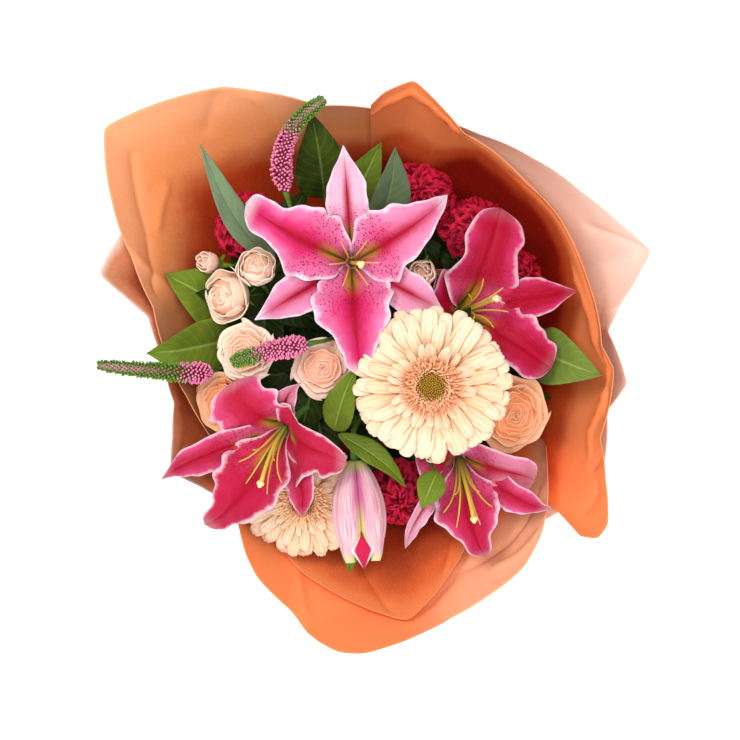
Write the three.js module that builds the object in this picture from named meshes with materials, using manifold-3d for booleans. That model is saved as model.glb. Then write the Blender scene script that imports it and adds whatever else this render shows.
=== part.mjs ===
// A hand-tied bouquet lying on its side: pink lilies, gerberas, roses, spray roses, carnations, speedwell
// and broad leaves, their stems tied at a waist and wrapped in a cone of non-woven sheets.
// Millimetres, +Z up. The origin is the middle of the flat spot where the front sheet rests.
//
// Everything but the sheets is placed in the bouquet's own frame: its origin is the waist, z runs out
// along the axis towards the blooms, x is to the right and y is up for someone who looks into them.
import * as THREE from "three";
import { mergeVertices } from "three/addons/utils/BufferGeometryUtils.js";
import Module from "manifold-3d";

const wasm = await Module();
wasm.setup();

// ---- How the bouquet lies ------------------------------------------------------------------------
const LIE_ANGLE = THREE.MathUtils.degToRad(32); // the axis above the surface
const WAIST_HEIGHT = 92.4; // the waist above the surface
const WAIST_BACK = 258; // the waist behind the flat spot
const GAP = 0.3; // between pieces that touch

// ---- Materials -----------------------------------------------------------------------------------
const finish = (name, color, roughness = 0.6) =>
  new THREE.MeshStandardMaterial({ name, color, roughness, metalness: 0 });
const LILY_PINK = finish("lily_petal", 0xd9467f, 0.5);
const LILY_GOLD = finish("lily_stamen", 0xc9a13b, 0.5);
const BUD_PINK = finish("lily_bud", 0xdd9bb4, 0.5);
const GERBERA_CREAM = finish("gerbera_petal", 0xf6dfae);
const GERBERA_HEART = finish("gerbera_heart", 0xdf9d6a, 0.8);
const ROSE_PEACH = finish("rose_petal", 0xf0a878);
const SPRAY_CREAM = finish("spray_rose_petal", 0xf6cdb0);
const CARNATION_RED = finish("carnation_petal", 0x9c0f35);
const SPEEDWELL = finish("speedwell_spike", 0xb06a92, 0.8);
const STEM_GREEN = finish("stem", 0x5e8a3a);
const LEAF_GREEN = finish("leaf", 0x47762c, 0.4);
const WRAP_ORANGE = finish("wrap_orange", 0xe0703c, 0.9);
const WRAP_PEACH = finish("wrap_peach", 0xf2bd9a, 0.9);
const RIBBON = finish("ribbon", 0xf0a98c, 0.5);
const TWINE = finish("twine", 0xb59a6a, 0.9);

// ---- Solids --------------------------------------------------------------------------------------
const UP = new THREE.Vector3(0, 0, 1);
const vec = (x, y, z) => new THREE.Vector3(x, y, z);
const degrees = THREE.MathUtils.degToRad;
const mix = THREE.MathUtils.lerp;

function geometryOf(points, triangles) {
  const geometry = new THREE.BufferGeometry();
  const numbers = points.flatMap((p) => [p.x, p.y, p.z]);
  geometry.setAttribute("position", new THREE.Float32BufferAttribute(numbers, 3));
  return geometry.setIndex(triangles);
}

// A thin closed solid on a grid of points. surface(u, v) is the middle of the sheet, u along and v across.
// Both faces are split into triangles alike, so that they never cross.
function panel(rows, columns, thickness, surface) {
  const at = (i, j) => i * (columns + 1) + j;
  const middle = [];
  for (let i = 0; i <= rows; i++)
    for (let j = 0; j <= columns; j++) middle.push(surface(i / rows, j / columns));
  const front = [];
  const back = [];
  for (let i = 0; i <= rows; i++)
    for (let j = 0; j <= columns; j++) {
      const along = middle[at(Math.min(i + 1, rows), j)].clone().sub(middle[at(Math.max(i - 1, 0), j)]);
      const across = middle[at(i, Math.min(j + 1, columns))].clone().sub(middle[at(i, Math.max(j - 1, 0))]);
      const half = along.cross(across).normalize().multiplyScalar(thickness / 2);
      front.push(middle[at(i, j)].clone().add(half));
      back.push(middle[at(i, j)].clone().sub(half));
    }
  const under = front.length;
  const triangles = [];
  for (let i = 0; i < rows; i++)
    for (let j = 0; j < columns; j++) {
      const [a, b, c, d] = [at(i, j), at(i + 1, j), at(i + 1, j + 1), at(i, j + 1)];
      triangles.push(a, b, c, a, c, d);
      triangles.push(under + a, under + c, under + b, under + a, under + d, under + c);
    }
  const edge = [];
  for (let i = 0; i < rows; i++) edge.push(at(i, 0));
  for (let j = 0; j < columns; j++) edge.push(at(rows, j));
  for (let i = rows; i > 0; i--) edge.push(at(i, columns));
  for (let j = columns; j > 0; j--) edge.push(at(0, j));
  edge.forEach((a, k) => {
    const b = edge[(k + 1) % edge.length];
    triangles.push(a, under + a, under + b, a, under + b, b);
  });
  return geometryOf([...front, ...back], triangles);
}

// A closed tube along a list of points, with one radius for each.
function tube(points, radii, sides) {
  const rings = [];
  let side = null;
  points.forEach((point, i) => {
    const before = points[Math.max(i - 1, 0)];
    const after = points[Math.min(i + 1, points.length - 1)];
    const along = after.clone().sub(before).normalize();
    side = side || (Math.abs(along.x) > 0.8 ? vec(0, 1, 0) : vec(1, 0, 0));
    side = side.clone().addScaledVector(along, -side.dot(along)).normalize();
    const other = along.clone().cross(side);
    for (let k = 0; k < sides; k++) {
      const turn = (2 * Math.PI * k) / sides;
      const out = side.clone().multiplyScalar(Math.cos(turn)).addScaledVector(other, Math.sin(turn));
      rings.push(point.clone().addScaledVector(out, radii[i]));
    }
  });
  const last = (points.length - 1) * sides;
  const triangles = [];
  for (let i = 0; i < points.length - 1; i++)
    for (let k = 0; k < sides; k++) {
      const a = i * sides + k;
      const b = i * sides + ((k + 1) % sides);
      triangles.push(a, b, b + sides, a, b + sides, a + sides);
    }
  for (let k = 1; k < sides - 1; k++) triangles.push(0, k + 1, k, last, last + k, last + k + 1);
  return geometryOf(rings, triangles);
}

// A closed solid round the z axis. shape(i, turn, k) gives the radius and height of corner k of ring i, and
// every other ring is turned by the share stagger of a side. foot and top are its ends on the axis.
function turned(rings, sides, foot, top, shape, stagger = 0.5) {
  const points = [vec(0, 0, foot)];
  for (let i = 0; i <= rings; i++)
    for (let k = 0; k < sides; k++) {
      const turn = (2 * Math.PI * (k + (i % 2) * stagger)) / sides;
      const [r, z] = shape(i, turn, k);
      points.push(vec(r * Math.cos(turn), r * Math.sin(turn), z));
    }
  points.push(vec(0, 0, top));
  const triangles = [];
  const at = (i, k) => 1 + i * sides + (k % sides);
  for (let k = 0; k < sides; k++) triangles.push(0, at(0, k + 1), at(0, k));
  for (let i = 0; i < rings; i++)
    for (let k = 0; k < sides; k++) {
      const [a, b, c, d] = [at(i, k), at(i, k + 1), at(i + 1, k + 1), at(i + 1, k)];
      if (i % 2) triangles.push(a, b, c, c, d, a);
      else triangles.push(a, b, d, b, c, d);
    }
  for (let k = 0; k < sides; k++) triangles.push(points.length - 1, at(rings, k), at(rings, k + 1));
  return geometryOf(points, triangles);
}
const cone = (sides, height, low, high) =>
  turned(1, sides, 0, height, (i) => (i ? [high, height] : [low, 0]));

const placed = (geometry, position, direction = UP, roll = 0) =>
  geometry.applyMatrix4(
    new THREE.Matrix4().compose(
      position,
      new THREE.Quaternion()
        .setFromUnitVectors(UP, direction.clone().normalize())
        .multiply(new THREE.Quaternion().setFromAxisAngle(UP, roll)),
      vec(1, 1, 1),
    ),
  );

function solidOf(geometry) {
  const bare = new THREE.BufferGeometry();
  bare.setAttribute("position", geometry.getAttribute("position").clone());
  if (geometry.index) bare.setIndex(geometry.index.clone());
  const merged = mergeVertices(bare, 1e-4);
  return new wasm.Manifold(
    new wasm.Mesh({
      numProp: 3,
      vertProperties: merged.attributes.position.array,
      triVerts: new Uint32Array(merged.index.array),
    }),
  );
}

// Several closed pieces joined into one solid. Hollows that the joining seals are filled, and specks dropped.
const SPECK = 1; // cubic millimetres
const FLATNESS = 0.02; // faces flatter than this are merged
function fused(pieces) {
  const shells = wasm.Manifold.union(pieces.map(solidOf)).decompose();
  const [whole, second] = shells.sort((a, b) => b.volume() - a.volume());
  if (second && second.volume() > SPECK) throw new Error("a piece stands apart from what it grows from");
  const mesh = whole.simplify(FLATNESS).getMesh();
  const points = [];
  for (let i = 0; i < mesh.numVert; i++) points.push(vec(...mesh.vertProperties.slice(3 * i, 3 * i + 3)));
  return geometryOf(points, [...mesh.triVerts]);
}

// ---- Lilies --------------------------------------------------------------------------------------
const LILY = {
  opening: degrees(13), // a tepal's slope from the axis where it starts
  recurve: degrees(118), // and at its tip
  petal: { length: 106, halfWidth: 22, start: 3.8, ruffle: 2.6, fold: 3.5, rows: 5 },
  sepal: { length: 104, halfWidth: 14.5, start: 5.7, ruffle: 0.6, fold: 0.8, rows: 4 },
  foot: [[3.2, 0], [7.4, 3.4], [8.4, 7]],
  thickness: 0.9,
};

// A tepal leaves the trumpet's base along the axis and bends outwards in an even arc. It lies on the
// trumpet's round, so that the three petals pass inside the three sepals.
function tepal(shape, { stretch = 1, recurve = LILY.recurve } = {}) {
  const { rows, length, halfWidth, start, ruffle, fold } = shape;
  const bend = recurve - LILY.opening;
  const bow = (length * stretch) / bend;
  return panel(rows, 2, LILY.thickness, (t, v) => {
    const s = 2 * v - 1;
    const slope = LILY.opening + bend * t;
    const outline = 1.3 + halfWidth * Math.sin(Math.PI * Math.min(t, 0.985) ** 0.92) ** 1.05 * (1 - 0.12 * t);
    const r = start + bow * (Math.cos(LILY.opening) - Math.cos(slope));
    const h = 3 + bow * (Math.sin(slope) - Math.sin(LILY.opening));
    const wave = ruffle * Math.sin(7.5 * Math.PI * t + 1.3 * s) * Math.sin(Math.PI * t);
    const lift = s * s * (fold * Math.sin(Math.PI * t) + wave);
    const turn = (s * outline) / Math.max(r, 8);
    const out = r - lift * Math.cos(slope);
    return vec(out * Math.cos(turn), out * Math.sin(turn), h + lift * Math.sin(slope));
  });
}

function lilyTepals({ bends = [] }) {
  const pieces = [turned(2, 9, 0, 7, (i) => LILY.foot[i])];
  for (let k = 0; k < 6; k++)
    pieces.push(tepal(k % 2 ? LILY.sepal : LILY.petal, bends[k]).rotateZ(degrees(60 * k)));
  return fused(pieces);
}

// Six filaments, their anthers taken off as florists do, round a longer style with its stigma.
function lilyHeart() {
  const foot = 7 + GAP;
  const pieces = [
    cone(6, 2.4, 2.9, 2.6).translate(0, 0, foot),
    tube([vec(0, 0, foot + 1), vec(0.5, -0.5, 30), vec(3, -2, 62)], [1.3, 1.1, 1.3], 5),
    cone(6, 3, 2, 3).translate(3, -2, 60.5),
  ];
  for (let k = 0; k < 6; k++) {
    const filament = tube([vec(2, 0, foot + 1), vec(5, 0, 30), vec(17, 0, 55)], [0.8, 0.9, 0.8], 3);
    pieces.push(filament.rotateZ(degrees(60 * k + 30)));
  }
  return fused(pieces);
}

// An opening bud: three tepals closed side by side, their edges sunk, their tips just parted.
const BUD = { length: 74, radius: 17, rings: 6 };
function lilyBud() {
  return turned(BUD.rings, 12, 0, BUD.length - 7, (i, turn, k) => {
    const t = i / BUD.rings;
    const wide = 2.6 + (BUD.radius - 2.6) * Math.sin(Math.PI * Math.min(1, 0.04 + 0.86 * t)) ** 0.8;
    const edge = k % 4 === 0 ? 1 : 0;
    const flared = t === 1 ? 3 : 0;
    return [wide * (1 - 0.16 * edge) + flared * (1 - 2 * edge), BUD.length * t - 9 * t ** 4 * edge];
  }, 0);
}

// ---- Gerberas ------------------------------------------------------------------------------------
const GERBERA = {
  outerRays: { count: 16, from: 11, to: 57, halfWidth: 7, height: 2.6, lift: 4.5, droop: 3, turn: 0 },
  innerRays: { count: 10, from: 11, to: 44, halfWidth: 6.4, height: 5.4, lift: 6, droop: 0, turn: 0.31 },
  cup: { height: 7, low: 10, high: 13.5 },
  heartRadius: 12.6,
};

function ray({ from, to, halfWidth, height, lift, droop }) {
  return panel(2, 1, 0.8, (t, v) => {
    const half = t === 0 ? 0.9 : t === 1 ? 0.62 * halfWidth : halfWidth;
    const high = height + lift * Math.sin(2.6 * t) - droop * t * t;
    return vec(mix(from, to, t ** 0.7), (2 * v - 1) * half, high);
  });
}

function gerberaRays({ size = 1 }) {
  const { height, low, high } = GERBERA.cup;
  const pieces = [cone(12, height, low, high)];
  for (const whorl of [GERBERA.outerRays, GERBERA.innerRays])
    for (let k = 0; k < whorl.count; k++)
      pieces.push(ray(whorl).rotateZ((2 * Math.PI * (k + whorl.turn)) / whorl.count));
  return fused(pieces).scale(size, size, 1);
}

// The disc florets as relief: a ring that stands up raggedly round a low dome.
function gerberaHeart({ size = 1 }) {
  const foot = GERBERA.cup.height + GAP;
  const r = GERBERA.heartRadius;
  const rings = [[0.93, 0], [1, 2.4], [1.12, 6.4], [0.86, 4.4], [0.62, 5.6], [0.34, 4.6]];
  const heart = turned(5, 14, foot, foot + 5.2, (i, turn, k) => {
    const [wide, high] = rings[i];
    const ragged = i < 2 ? 0 : (k + i) % 2 ? 0.9 : -0.6;
    return [r * wide, foot + high + ragged];
  });
  return heart.scale(size, size, 1);
}

// ---- Roses ---------------------------------------------------------------------------------------
// A petal is a patch of a bowl round the bloom's axis, rooted in its core. One edge lies inside the
// next petal, the other outside the one before.
function cupPetal({ root, radius, low, high, span, flare, overlap }, turn0) {
  return panel(2, 2, 0.9, (t, v) => {
    const s = 2 * v - 1;
    const turn = turn0 + degrees(span / 2) * s * (0.35 + 0.65 * Math.sqrt(t));
    const bowl = mix(root, radius, Math.sin((Math.PI / 2) * t ** 0.8));
    const r = bowl + flare * t ** 3 + overlap * s * (0.2 + 0.8 * t);
    const sunk = 0.16 * (high - low) * s * s + 0.3 * flare * t;
    return vec(r * Math.cos(turn), r * Math.sin(turn), mix(low, high, t) - t * sunk);
  });
}

// The petals further in are relief: walls that rise to a rim and fold down again, with a step at each petal.
const ROSE = {
  outer: { count: 5, root: 10, radius: 23, low: 4, high: 25, span: 92, flare: 6, overlap: 1.9 },
  walls: [[3.6, 0], [12, 5], [18, 25], [11.5, 18], [12.5, 28], [6.5, 22], [5.5, 30]],
  sides: 12,
  top: 27,
};
const SPRAY_ROSE = {
  walls: [[3.2, 0], [13, 4.5], [19.5, 15], [12, 11.5], [12.5, 19], [7, 14], [6.5, 21.5]],
  sides: 12,
  top: 18.5,
};
const ROSE_BUD = { walls: [[3, 0], [7, 4], [9, 11], [8, 19], [4.4, 15], [3.8, 20]], sides: 9, top: 18 };

function rosePetals({ shape, size = 1 }) {
  const { outer, walls, sides, top } = shape;
  const heart = turned(walls.length - 1, sides, 0, top, (i, turn, k) => {
    const [r, z] = walls[i];
    const place = (k + i) % 3; // a petal's inner edge, its middle or its outer edge
    const step = i > 1 ? 1 : 0.3 * i;
    return [r * (1 + 0.09 * step * (place - 1)), z - step * (place === 1 ? 0 : 2)];
  }, 0);
  if (!outer) return heart.scale(size, size, size);
  const pieces = [heart];
  for (let k = 0; k < outer.count; k++) pieces.push(cupPetal(outer, (2 * Math.PI * k) / outer.count));
  return fused(pieces).scale(size, size, size);
}

// The green cup under a rose: five sepals bent back round the top of its stem.
function roseCup(reach) {
  return turned(1, 10, -6, -1, (i, turn, k) => {
    const wide = (k + i) % 2 ? 0.3 : 1;
    return [reach * wide, i ? -1.2 - 4.5 * wide : -2.6 - 4.5 * wide];
  });
}

// ---- Carnations ----------------------------------------------------------------------------------
// Frills on frills: each wall runs out to a ragged edge and back in below the next.
const CARNATION = {
  walls: [[5, 0], [24.5, 10], [13.5, 10.5], [21, 18], [9.5, 16], [13, 23], [5, 19]],
  sides: 18,
  top: 24,
};

function carnationPetals({ size = 1 }) {
  const { walls, sides, top } = CARNATION;
  const frills = turned(walls.length - 1, sides, 0, top, (i, turn, k) => {
    const [r, z] = walls[i];
    if (i === 0) return [r, z];
    const odd = (k + (i > 3)) % 2 ? 1 : -1;
    const lobe = Math.cos(3 * turn + i);
    return [r * (1 + 0.07 * odd + 0.06 * lobe), z + 1.9 * odd + 1.2 * lobe];
  });
  return frills.scale(size, size, size);
}

// ---- Speedwell -----------------------------------------------------------------------------------
const SPIKE = { radius: 8.2, rings: 12, sides: 8 };

// A bent spike of small florets, raised from its surface by a formula, that tapers to its green tip.
function speedwellSpike({ route }) {
  const line = new THREE.QuadraticBezierCurve3(...route.map((p) => vec(...p)));
  const points = [];
  const radii = [];
  for (let i = 0; i <= SPIKE.rings; i++) {
    const t = i / SPIKE.rings;
    points.push(line.getPoint(t));
    const taper = Math.min(1, 0.45 + 3 * t) * mix(1, 0.42, t ** 1.5) * (i === SPIKE.rings ? 0.4 : 1);
    radii.push(SPIKE.radius * taper);
  }
  const geometry = tube(points, radii, SPIKE.sides);
  const position = geometry.getAttribute("position");
  for (let i = 0; i <= SPIKE.rings; i++)
    for (let k = 0; k < SPIKE.sides; k++) {
      const n = i * SPIKE.sides + k;
      const raised = (i + k) % 2 ? 1 : 0.78;
      const point = vec().fromBufferAttribute(position, n).lerp(points[i], 1 - raised);
      position.setXYZ(n, point.x, point.y, point.z);
    }
  return geometry;
}

// ---- Leaves --------------------------------------------------------------------------------------
// A leaf from its foot to its tip, folded along the midrib and arched towards the side it shows.
function leaf({ from, to, shows = [0, 0, 1], half, arch = 6, fold = 0.25, wide = 0.8, rows = 4 }) {
  const foot = vec(...from);
  const along = vec(...to).sub(foot);
  const face = vec(...shows);
  face.addScaledVector(along, -face.dot(along) / along.lengthSq()).normalize();
  const side = along.clone().normalize().cross(face);
  return panel(rows, 2, 0.9, (t, v) => {
    const s = 2 * v - 1;
    const width = 0.9 + half * Math.sin(Math.PI * Math.min(t, 0.985) ** wide) ** 0.9;
    const lift = arch * Math.sin(Math.PI * t) + fold * width * Math.abs(s);
    const middle = foot.clone().addScaledVector(along, t);
    return middle.addScaledVector(side, s * width).addScaledVector(face, lift);
  });
}

// ---- What the bouquet holds ----------------------------------------------------------------------
// A bloom stands on its base, looks along faces and is turned by roll degrees about it. Its name without
// the number is its kind.
const HIDDEN = { stretch: 0.62, recurve: degrees(128) }; // tepals that crowd their neighbours
const BLOOMS = [
  {
    name: "lily_1",
    base: [-17, 66, 200],
    faces: [-0.02, 0.1, 1],
    roll: 32,
    bends: { 5: { stretch: 0.82, recurve: degrees(135) } },
  },
  {
    name: "lily_2",
    base: [58, 27, 170],
    faces: [0.52, 0.2, 0.83],
    roll: 70,
    bends: { 1: { stretch: 0.45 }, 2: HIDDEN, 3: HIDDEN, 5: { stretch: 0.85, recurve: degrees(95) } },
  },
  { name: "lily_3", base: [-62, -52, 184], faces: [-0.45, -0.35, 0.82], roll: 12 },
  {
    name: "lily_4",
    base: [62, -78, 160],
    faces: [0.12, -0.48, 0.86],
    roll: 35,
    bends: {
      0: { stretch: 0.76 },
      1: HIDDEN,
      2: HIDDEN,
      3: { stretch: 0.8 },
      4: { stretch: 0.84, recurve: degrees(96) },
      5: { stretch: 0.86, recurve: degrees(100) },
    },
  },
  { name: "gerbera_1", base: [40, -17, 243], faces: [0, -0.08, 1] },
  { name: "gerbera_2", base: [-53, -111, 165], faces: [-0.1, -0.3, 0.95], roll: 8, size: 0.88 },
  { name: "rose_1", base: [95, -44, 170], faces: [0.3, -0.1, 0.95], roll: 20 },
  { name: "rose_2", base: [-105, -39, 149], faces: [-0.38, -0.12, 0.9], roll: 50, size: 0.84 },
  { name: "spray_rose_1", base: [-85, 58, 193], faces: [-0.1, 0.45, 0.88], size: 0.76 },
  { name: "spray_rose_2", base: [-99, 36, 162], faces: [-0.65, 0, 0.76], roll: 30, size: 0.92 },
  { name: "spray_rose_3", base: [-92, 0, 176], faces: [-0.25, 0, 0.95], roll: 60, size: 1.02 },
  { name: "spray_rose_4", base: [-39, -11, 190], faces: [0.05, 0.05, 1], roll: 10 },
  { name: "rose_bud_1", base: [-118, 62, 151], faces: [-0.6, 0.2, 0.75] },
  { name: "rose_bud_2", base: [32, 60, 198], faces: [0, 0.35, 0.92] },
  { name: "rose_bud_3", base: [43, -66, 206], faces: [0.05, -0.4, 0.9] },
  { name: "carnation_1", base: [-92, 94, 150], faces: [-0.45, 0.5, 0.75], size: 0.94 },
  { name: "carnation_2", base: [33, 112, 154], faces: [0.05, 0.4, 0.9], roll: 15, size: 0.96 },
  { name: "carnation_3", base: [74, 86, 146], faces: [0.35, 0.4, 0.85], roll: 40, size: 0.96 },
  { name: "carnation_4", base: [104, 50, 138], faces: [0.6, 0.2, 0.75], roll: 5, size: 0.94 },
  { name: "carnation_5", base: [18, -110, 147], faces: [0.05, -0.4, 0.9], roll: 25 },
  { name: "lily_bud", base: [-15, -80, 194], faces: [0.08, -0.99, 0.1], roll: 90 },
];

// A speedwell spike follows a curve through three points from its foot to its tip.
const SPIKES = [
  { name: "speedwell_1", route: [[-65, 119, 200], [-76, 160, 217], [-36, 184, 225]] },
  { name: "speedwell_2", route: [[-124, -16, 176], [-134, -16, 201], [-202, -8, 206]] },
  { name: "speedwell_3", route: [[-50, 9, 222], [-76, 6, 238], [-102, -2, 243]] },
];

// Each stem carries one bloom or spike, or forks below several, with any leaves on stalks from its fork.
const STEMS = [
  {
    name: "lily_stem_1",
    carries: ["lily_1", "lily_2"],
    radius: 3,
    leaves: [{ from: [8, 92, 176], to: [12, 152, 222], shows: [0.5, -0.4, 1], half: 13 }],
  },
  {
    name: "lily_stem_2",
    carries: ["lily_3", "lily_4", "lily_bud"],
    radius: 3,
    leaves: [
      { from: [-30, -58, 190], to: [-14, -10, 226], shows: [-0.4, -0.3, 1], half: 12 },
      { from: [-10, -58, 196], to: [28, -84, 206], shows: [0.3, 0.5, 1], half: 9 },
    ],
  },
  { name: "gerbera_1_stem", carries: ["gerbera_1"], radius: 2.8 },
  { name: "gerbera_2_stem", carries: ["gerbera_2"], radius: 2.8 },
  { name: "rose_1_stem", carries: ["rose_1"], radius: 2.6 },
  { name: "rose_2_stem", carries: ["rose_2"], radius: 2.6 },
  {
    name: "spray_stem_1",
    carries: ["spray_rose_1", "spray_rose_2", "spray_rose_3", "rose_bud_1"],
    radius: 2.4,
  },
  { name: "spray_stem_2", carries: ["spray_rose_4", "rose_bud_2", "rose_bud_3"], radius: 2.4 },
  { name: "carnation_1_stem", carries: ["carnation_1"], radius: 2 },
  { name: "carnation_2_stem", carries: ["carnation_2"], radius: 2 },
  { name: "carnation_3_stem", carries: ["carnation_3"], radius: 2 },
  { name: "carnation_4_stem", carries: ["carnation_4"], radius: 2 },
  { name: "carnation_5_stem", carries: ["carnation_5"], radius: 2 },
  { name: "speedwell_1_stem", carries: ["speedwell_1"], radius: 1.7 },
  { name: "speedwell_2_stem", carries: ["speedwell_2"], radius: 1.7 },
  { name: "speedwell_3_stem", carries: ["speedwell_3"], radius: 1.7 },
  {
    name: "foliage_left",
    fork: [-84, 8, 118],
    radius: 2.2,
    leaves: [
      { from: [-100, 18, 126], to: [-154, 55, 164], shows: [0.3, 0.2, 1], half: 19, arch: 4 },
      { from: [-106, 6, 138], to: [-166, 0, 182], shows: [0.2, -0.2, 1], half: 17 },
    ],
  },
  {
    name: "foliage_top",
    fork: [-26, 88, 120],
    radius: 2.2,
    leaves: [
      { from: [-38, 112, 150], to: [-43, 172, 206], shows: [0.2, -0.5, 1], half: 20 },
      { from: [-18, 110, 150], to: [5, 156, 186], shows: [-0.2, -0.4, 1], half: 14 },
    ],
  },
  {
    name: "foliage_blade",
    fork: [-62, 62, 130],
    radius: 2,
    leaves: [{ from: [-70, 72, 172], to: [-123, 150, 240], shows: [0.4, -0.3, 1], half: 12 }],
  },
  {
    name: "foliage_right",
    fork: [96, 4, 116],
    radius: 2.2,
    leaves: [{ from: [118, 4, 142], to: [163, -14, 196], shows: [-0.5, 0.1, 1], half: 18 }],
  },
  {
    name: "foliage_bottom",
    fork: [34, -84, 104],
    radius: 2.2,
    leaves: [
      { from: [-14, -112, 128], to: [-18, -164, 158], shows: [0, 0.4, 1], half: 12, arch: 2 },
      { from: [50, -100, 126], to: [78, -144, 150], shows: [-0.2, 0.4, 1], half: 12, arch: 3 },
    ],
  },
];

// ---- Blooms and stems, placed --------------------------------------------------------------------
const KINDS = {
  lily: { parts: [["tepals", lilyTepals, LILY_PINK], ["heart", lilyHeart, LILY_GOLD]] },
  lily_bud: { parts: [["", lilyBud, BUD_PINK]] },
  gerbera: { parts: [["rays", gerberaRays, GERBERA_CREAM], ["heart", gerberaHeart, GERBERA_HEART]] },
  rose: { parts: [["petals", rosePetals, ROSE_PEACH]], shape: ROSE, cup: 15 },
  spray_rose: { parts: [["", rosePetals, SPRAY_CREAM]], shape: SPRAY_ROSE },
  rose_bud: { parts: [["", rosePetals, SPRAY_CREAM]], shape: ROSE_BUD },
  carnation: { parts: [["petals", carnationPetals, CARNATION_RED]] },
};
// The green part under a bloom: distances below its base and the radii there.
const NECKS = {
  lily: [[26, 1.9], [10, 2.4], [0, 3.2]],
  lily_bud: [[24, 1.9], [8, 2.6], [0, 3.4]],
  gerbera: [[30, 2.6], [9, 3], [0, 9]],
  rose: [[26, 2.4], [8, 2.6], [0, 3.6]],
  spray_rose: [[24, 1.6], [6, 2.4], [0, 5.4]],
  rose_bud: [[22, 1.6], [6, 2.2], [0, 4.6]],
  carnation: [[26, 1.8], [21, 4.6], [0, 6]],
  speedwell: [[20, 1.5], [8, 1.6], [0, 2.6]],
};

const kindOf = ({ name }) => name.replace(/_\d+$/, "");
const part = (name, geometry, material) => {
  const mesh = new THREE.Mesh(geometry, material);
  mesh.name = name;
  return mesh;
};
const inLine = (bloom, distance) =>
  vec(...bloom.base).addScaledVector(vec(...bloom.faces).normalize(), distance);

function bloomGroup(bloom) {
  const { parts, shape } = KINDS[kindOf(bloom)];
  const group = new THREE.Group();
  for (const [label, make, material] of parts) {
    const name = label ? `${bloom.name}_${label}` : bloom.name;
    group.add(part(name, make({ ...bloom, shape }), material));
  }
  group.position.set(...bloom.base);
  group.quaternion
    .setFromUnitVectors(UP, vec(...bloom.faces).normalize())
    .multiply(new THREE.Quaternion().setFromAxisAngle(UP, degrees(bloom.roll || 0)));
  return group;
}

// Where the stems pass, from below the crown down to their cut ends: the bundle's size and its spiral turn.
const CROWN_TO_WAIST = 0.14; // the stems' layout at the waist as a share of the crown's
const BUNDLE_RADIUS = 21.4; // of the stems' middles at the waist
const STEM_SPACING = 7;
const LEVELS = [
  { height: 96, spread: 3.1, turn: degrees(-6) },
  { height: 45, spread: 1.9, turn: degrees(-16) },
  { height: 0, spread: 1, turn: degrees(-28) },
  { height: -135, spread: 1.03, turn: degrees(-52) },
];
const CUT_END_LOW = -22.2; // the lowest stem's middle at the cut ends, where it touches the surface

const carried = (stem) =>
  stem.carries.map(
    (name) =>
      BLOOMS.find((bloom) => bloom.name === name) || spikeFoot(SPIKES.find((spike) => spike.name === name)),
  );
function spikeFoot({ name, route }) {
  const [foot, middle] = route.map((p) => vec(...p));
  return { name, base: route[0], faces: middle.sub(foot).toArray() };
}
const meanOf = (points) => points.reduce((sum, p) => sum.add(p), vec(0, 0, 0)).divideScalar(points.length);

// The stems' places at the waist: those of their crowns, drawn in, then pushed apart until none touch.
function waistLayout() {
  const places = STEMS.map((stem) => {
    const crown = stem.fork ? vec(...stem.fork) : meanOf(carried(stem).map((bloom) => inLine(bloom, -30)));
    return new THREE.Vector2(crown.x, crown.y).multiplyScalar(CROWN_TO_WAIST);
  });
  for (let round = 0; round < 600; round++)
    for (let i = 0; i < places.length; i++) {
      for (let j = 0; j < i; j++) {
        const apart = places[i].clone().sub(places[j]);
        const missing = STEM_SPACING - apart.length();
        if (missing <= 0) continue;
        apart.setLength(missing / 2);
        places[i].add(apart);
        places[j].sub(apart);
      }
      places[i].clampLength(0, BUNDLE_RADIUS);
    }
  return places;
}
const LAYOUT = waistLayout();
const atLevel = (place, { height, spread, turn }) => {
  const point = place.clone().multiplyScalar(spread).rotateAround(new THREE.Vector2(), turn);
  return vec(point.x, point.y, height);
};
const LOWEST_END = Math.min(...LAYOUT.map((place) => atLevel(place, LEVELS[3]).y));

function lowerRoute(place) {
  const route = LEVELS.map((level) => atLevel(place, level));
  route[3].y += CUT_END_LOW - LOWEST_END;
  return route;
}

function neckOf(bloom) {
  const neck = NECKS[kindOf(bloom)];
  const points = neck.map(([below]) => inLine(bloom, -below - GAP));
  return { points, radii: neck.map(([, radius]) => radius) };
}

function stemSolid(stem, n) {
  const lower = lowerRoute(LAYOUT[n]).reverse();
  const heads = stem.carries ? carried(stem) : [];
  const pieces = [];
  if (heads.length === 1) {
    const neck = neckOf(heads[0]);
    pieces.push(tube([...lower, ...neck.points], [...lower.map(() => stem.radius), ...neck.radii], 5));
  } else {
    const necks = heads.map(neckOf);
    const mean = meanOf(necks.map((neck) => neck.points[0]));
    const fork = stem.fork ? vec(...stem.fork) : vec(0.8 * mean.x, 0.8 * mean.y, Math.min(mean.z - 18, 140));
    pieces.push(tube([...lower, fork], [...lower, 0].map(() => stem.radius), 5));
    for (const { points, radii } of necks) pieces.push(tube([fork, ...points], [radii[0], ...radii], 4));
    for (const blade of stem.leaves || []) {
      const foot = vec(...blade.from);
      const into = foot.clone().addScaledVector(vec(...blade.to).sub(foot).normalize(), 5);
      pieces.push(tube([fork, foot, into], [1.6, 1.5, 0.9], 4), leaf(blade));
    }
  }
  for (const head of heads) {
    const { cup } = KINDS[kindOf(head)] || {};
    if (cup) pieces.push(placed(roseCup(cup * (head.size || 1)), vec(...head.base), vec(...head.faces)));
  }
  return fused(pieces);
}

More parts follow.
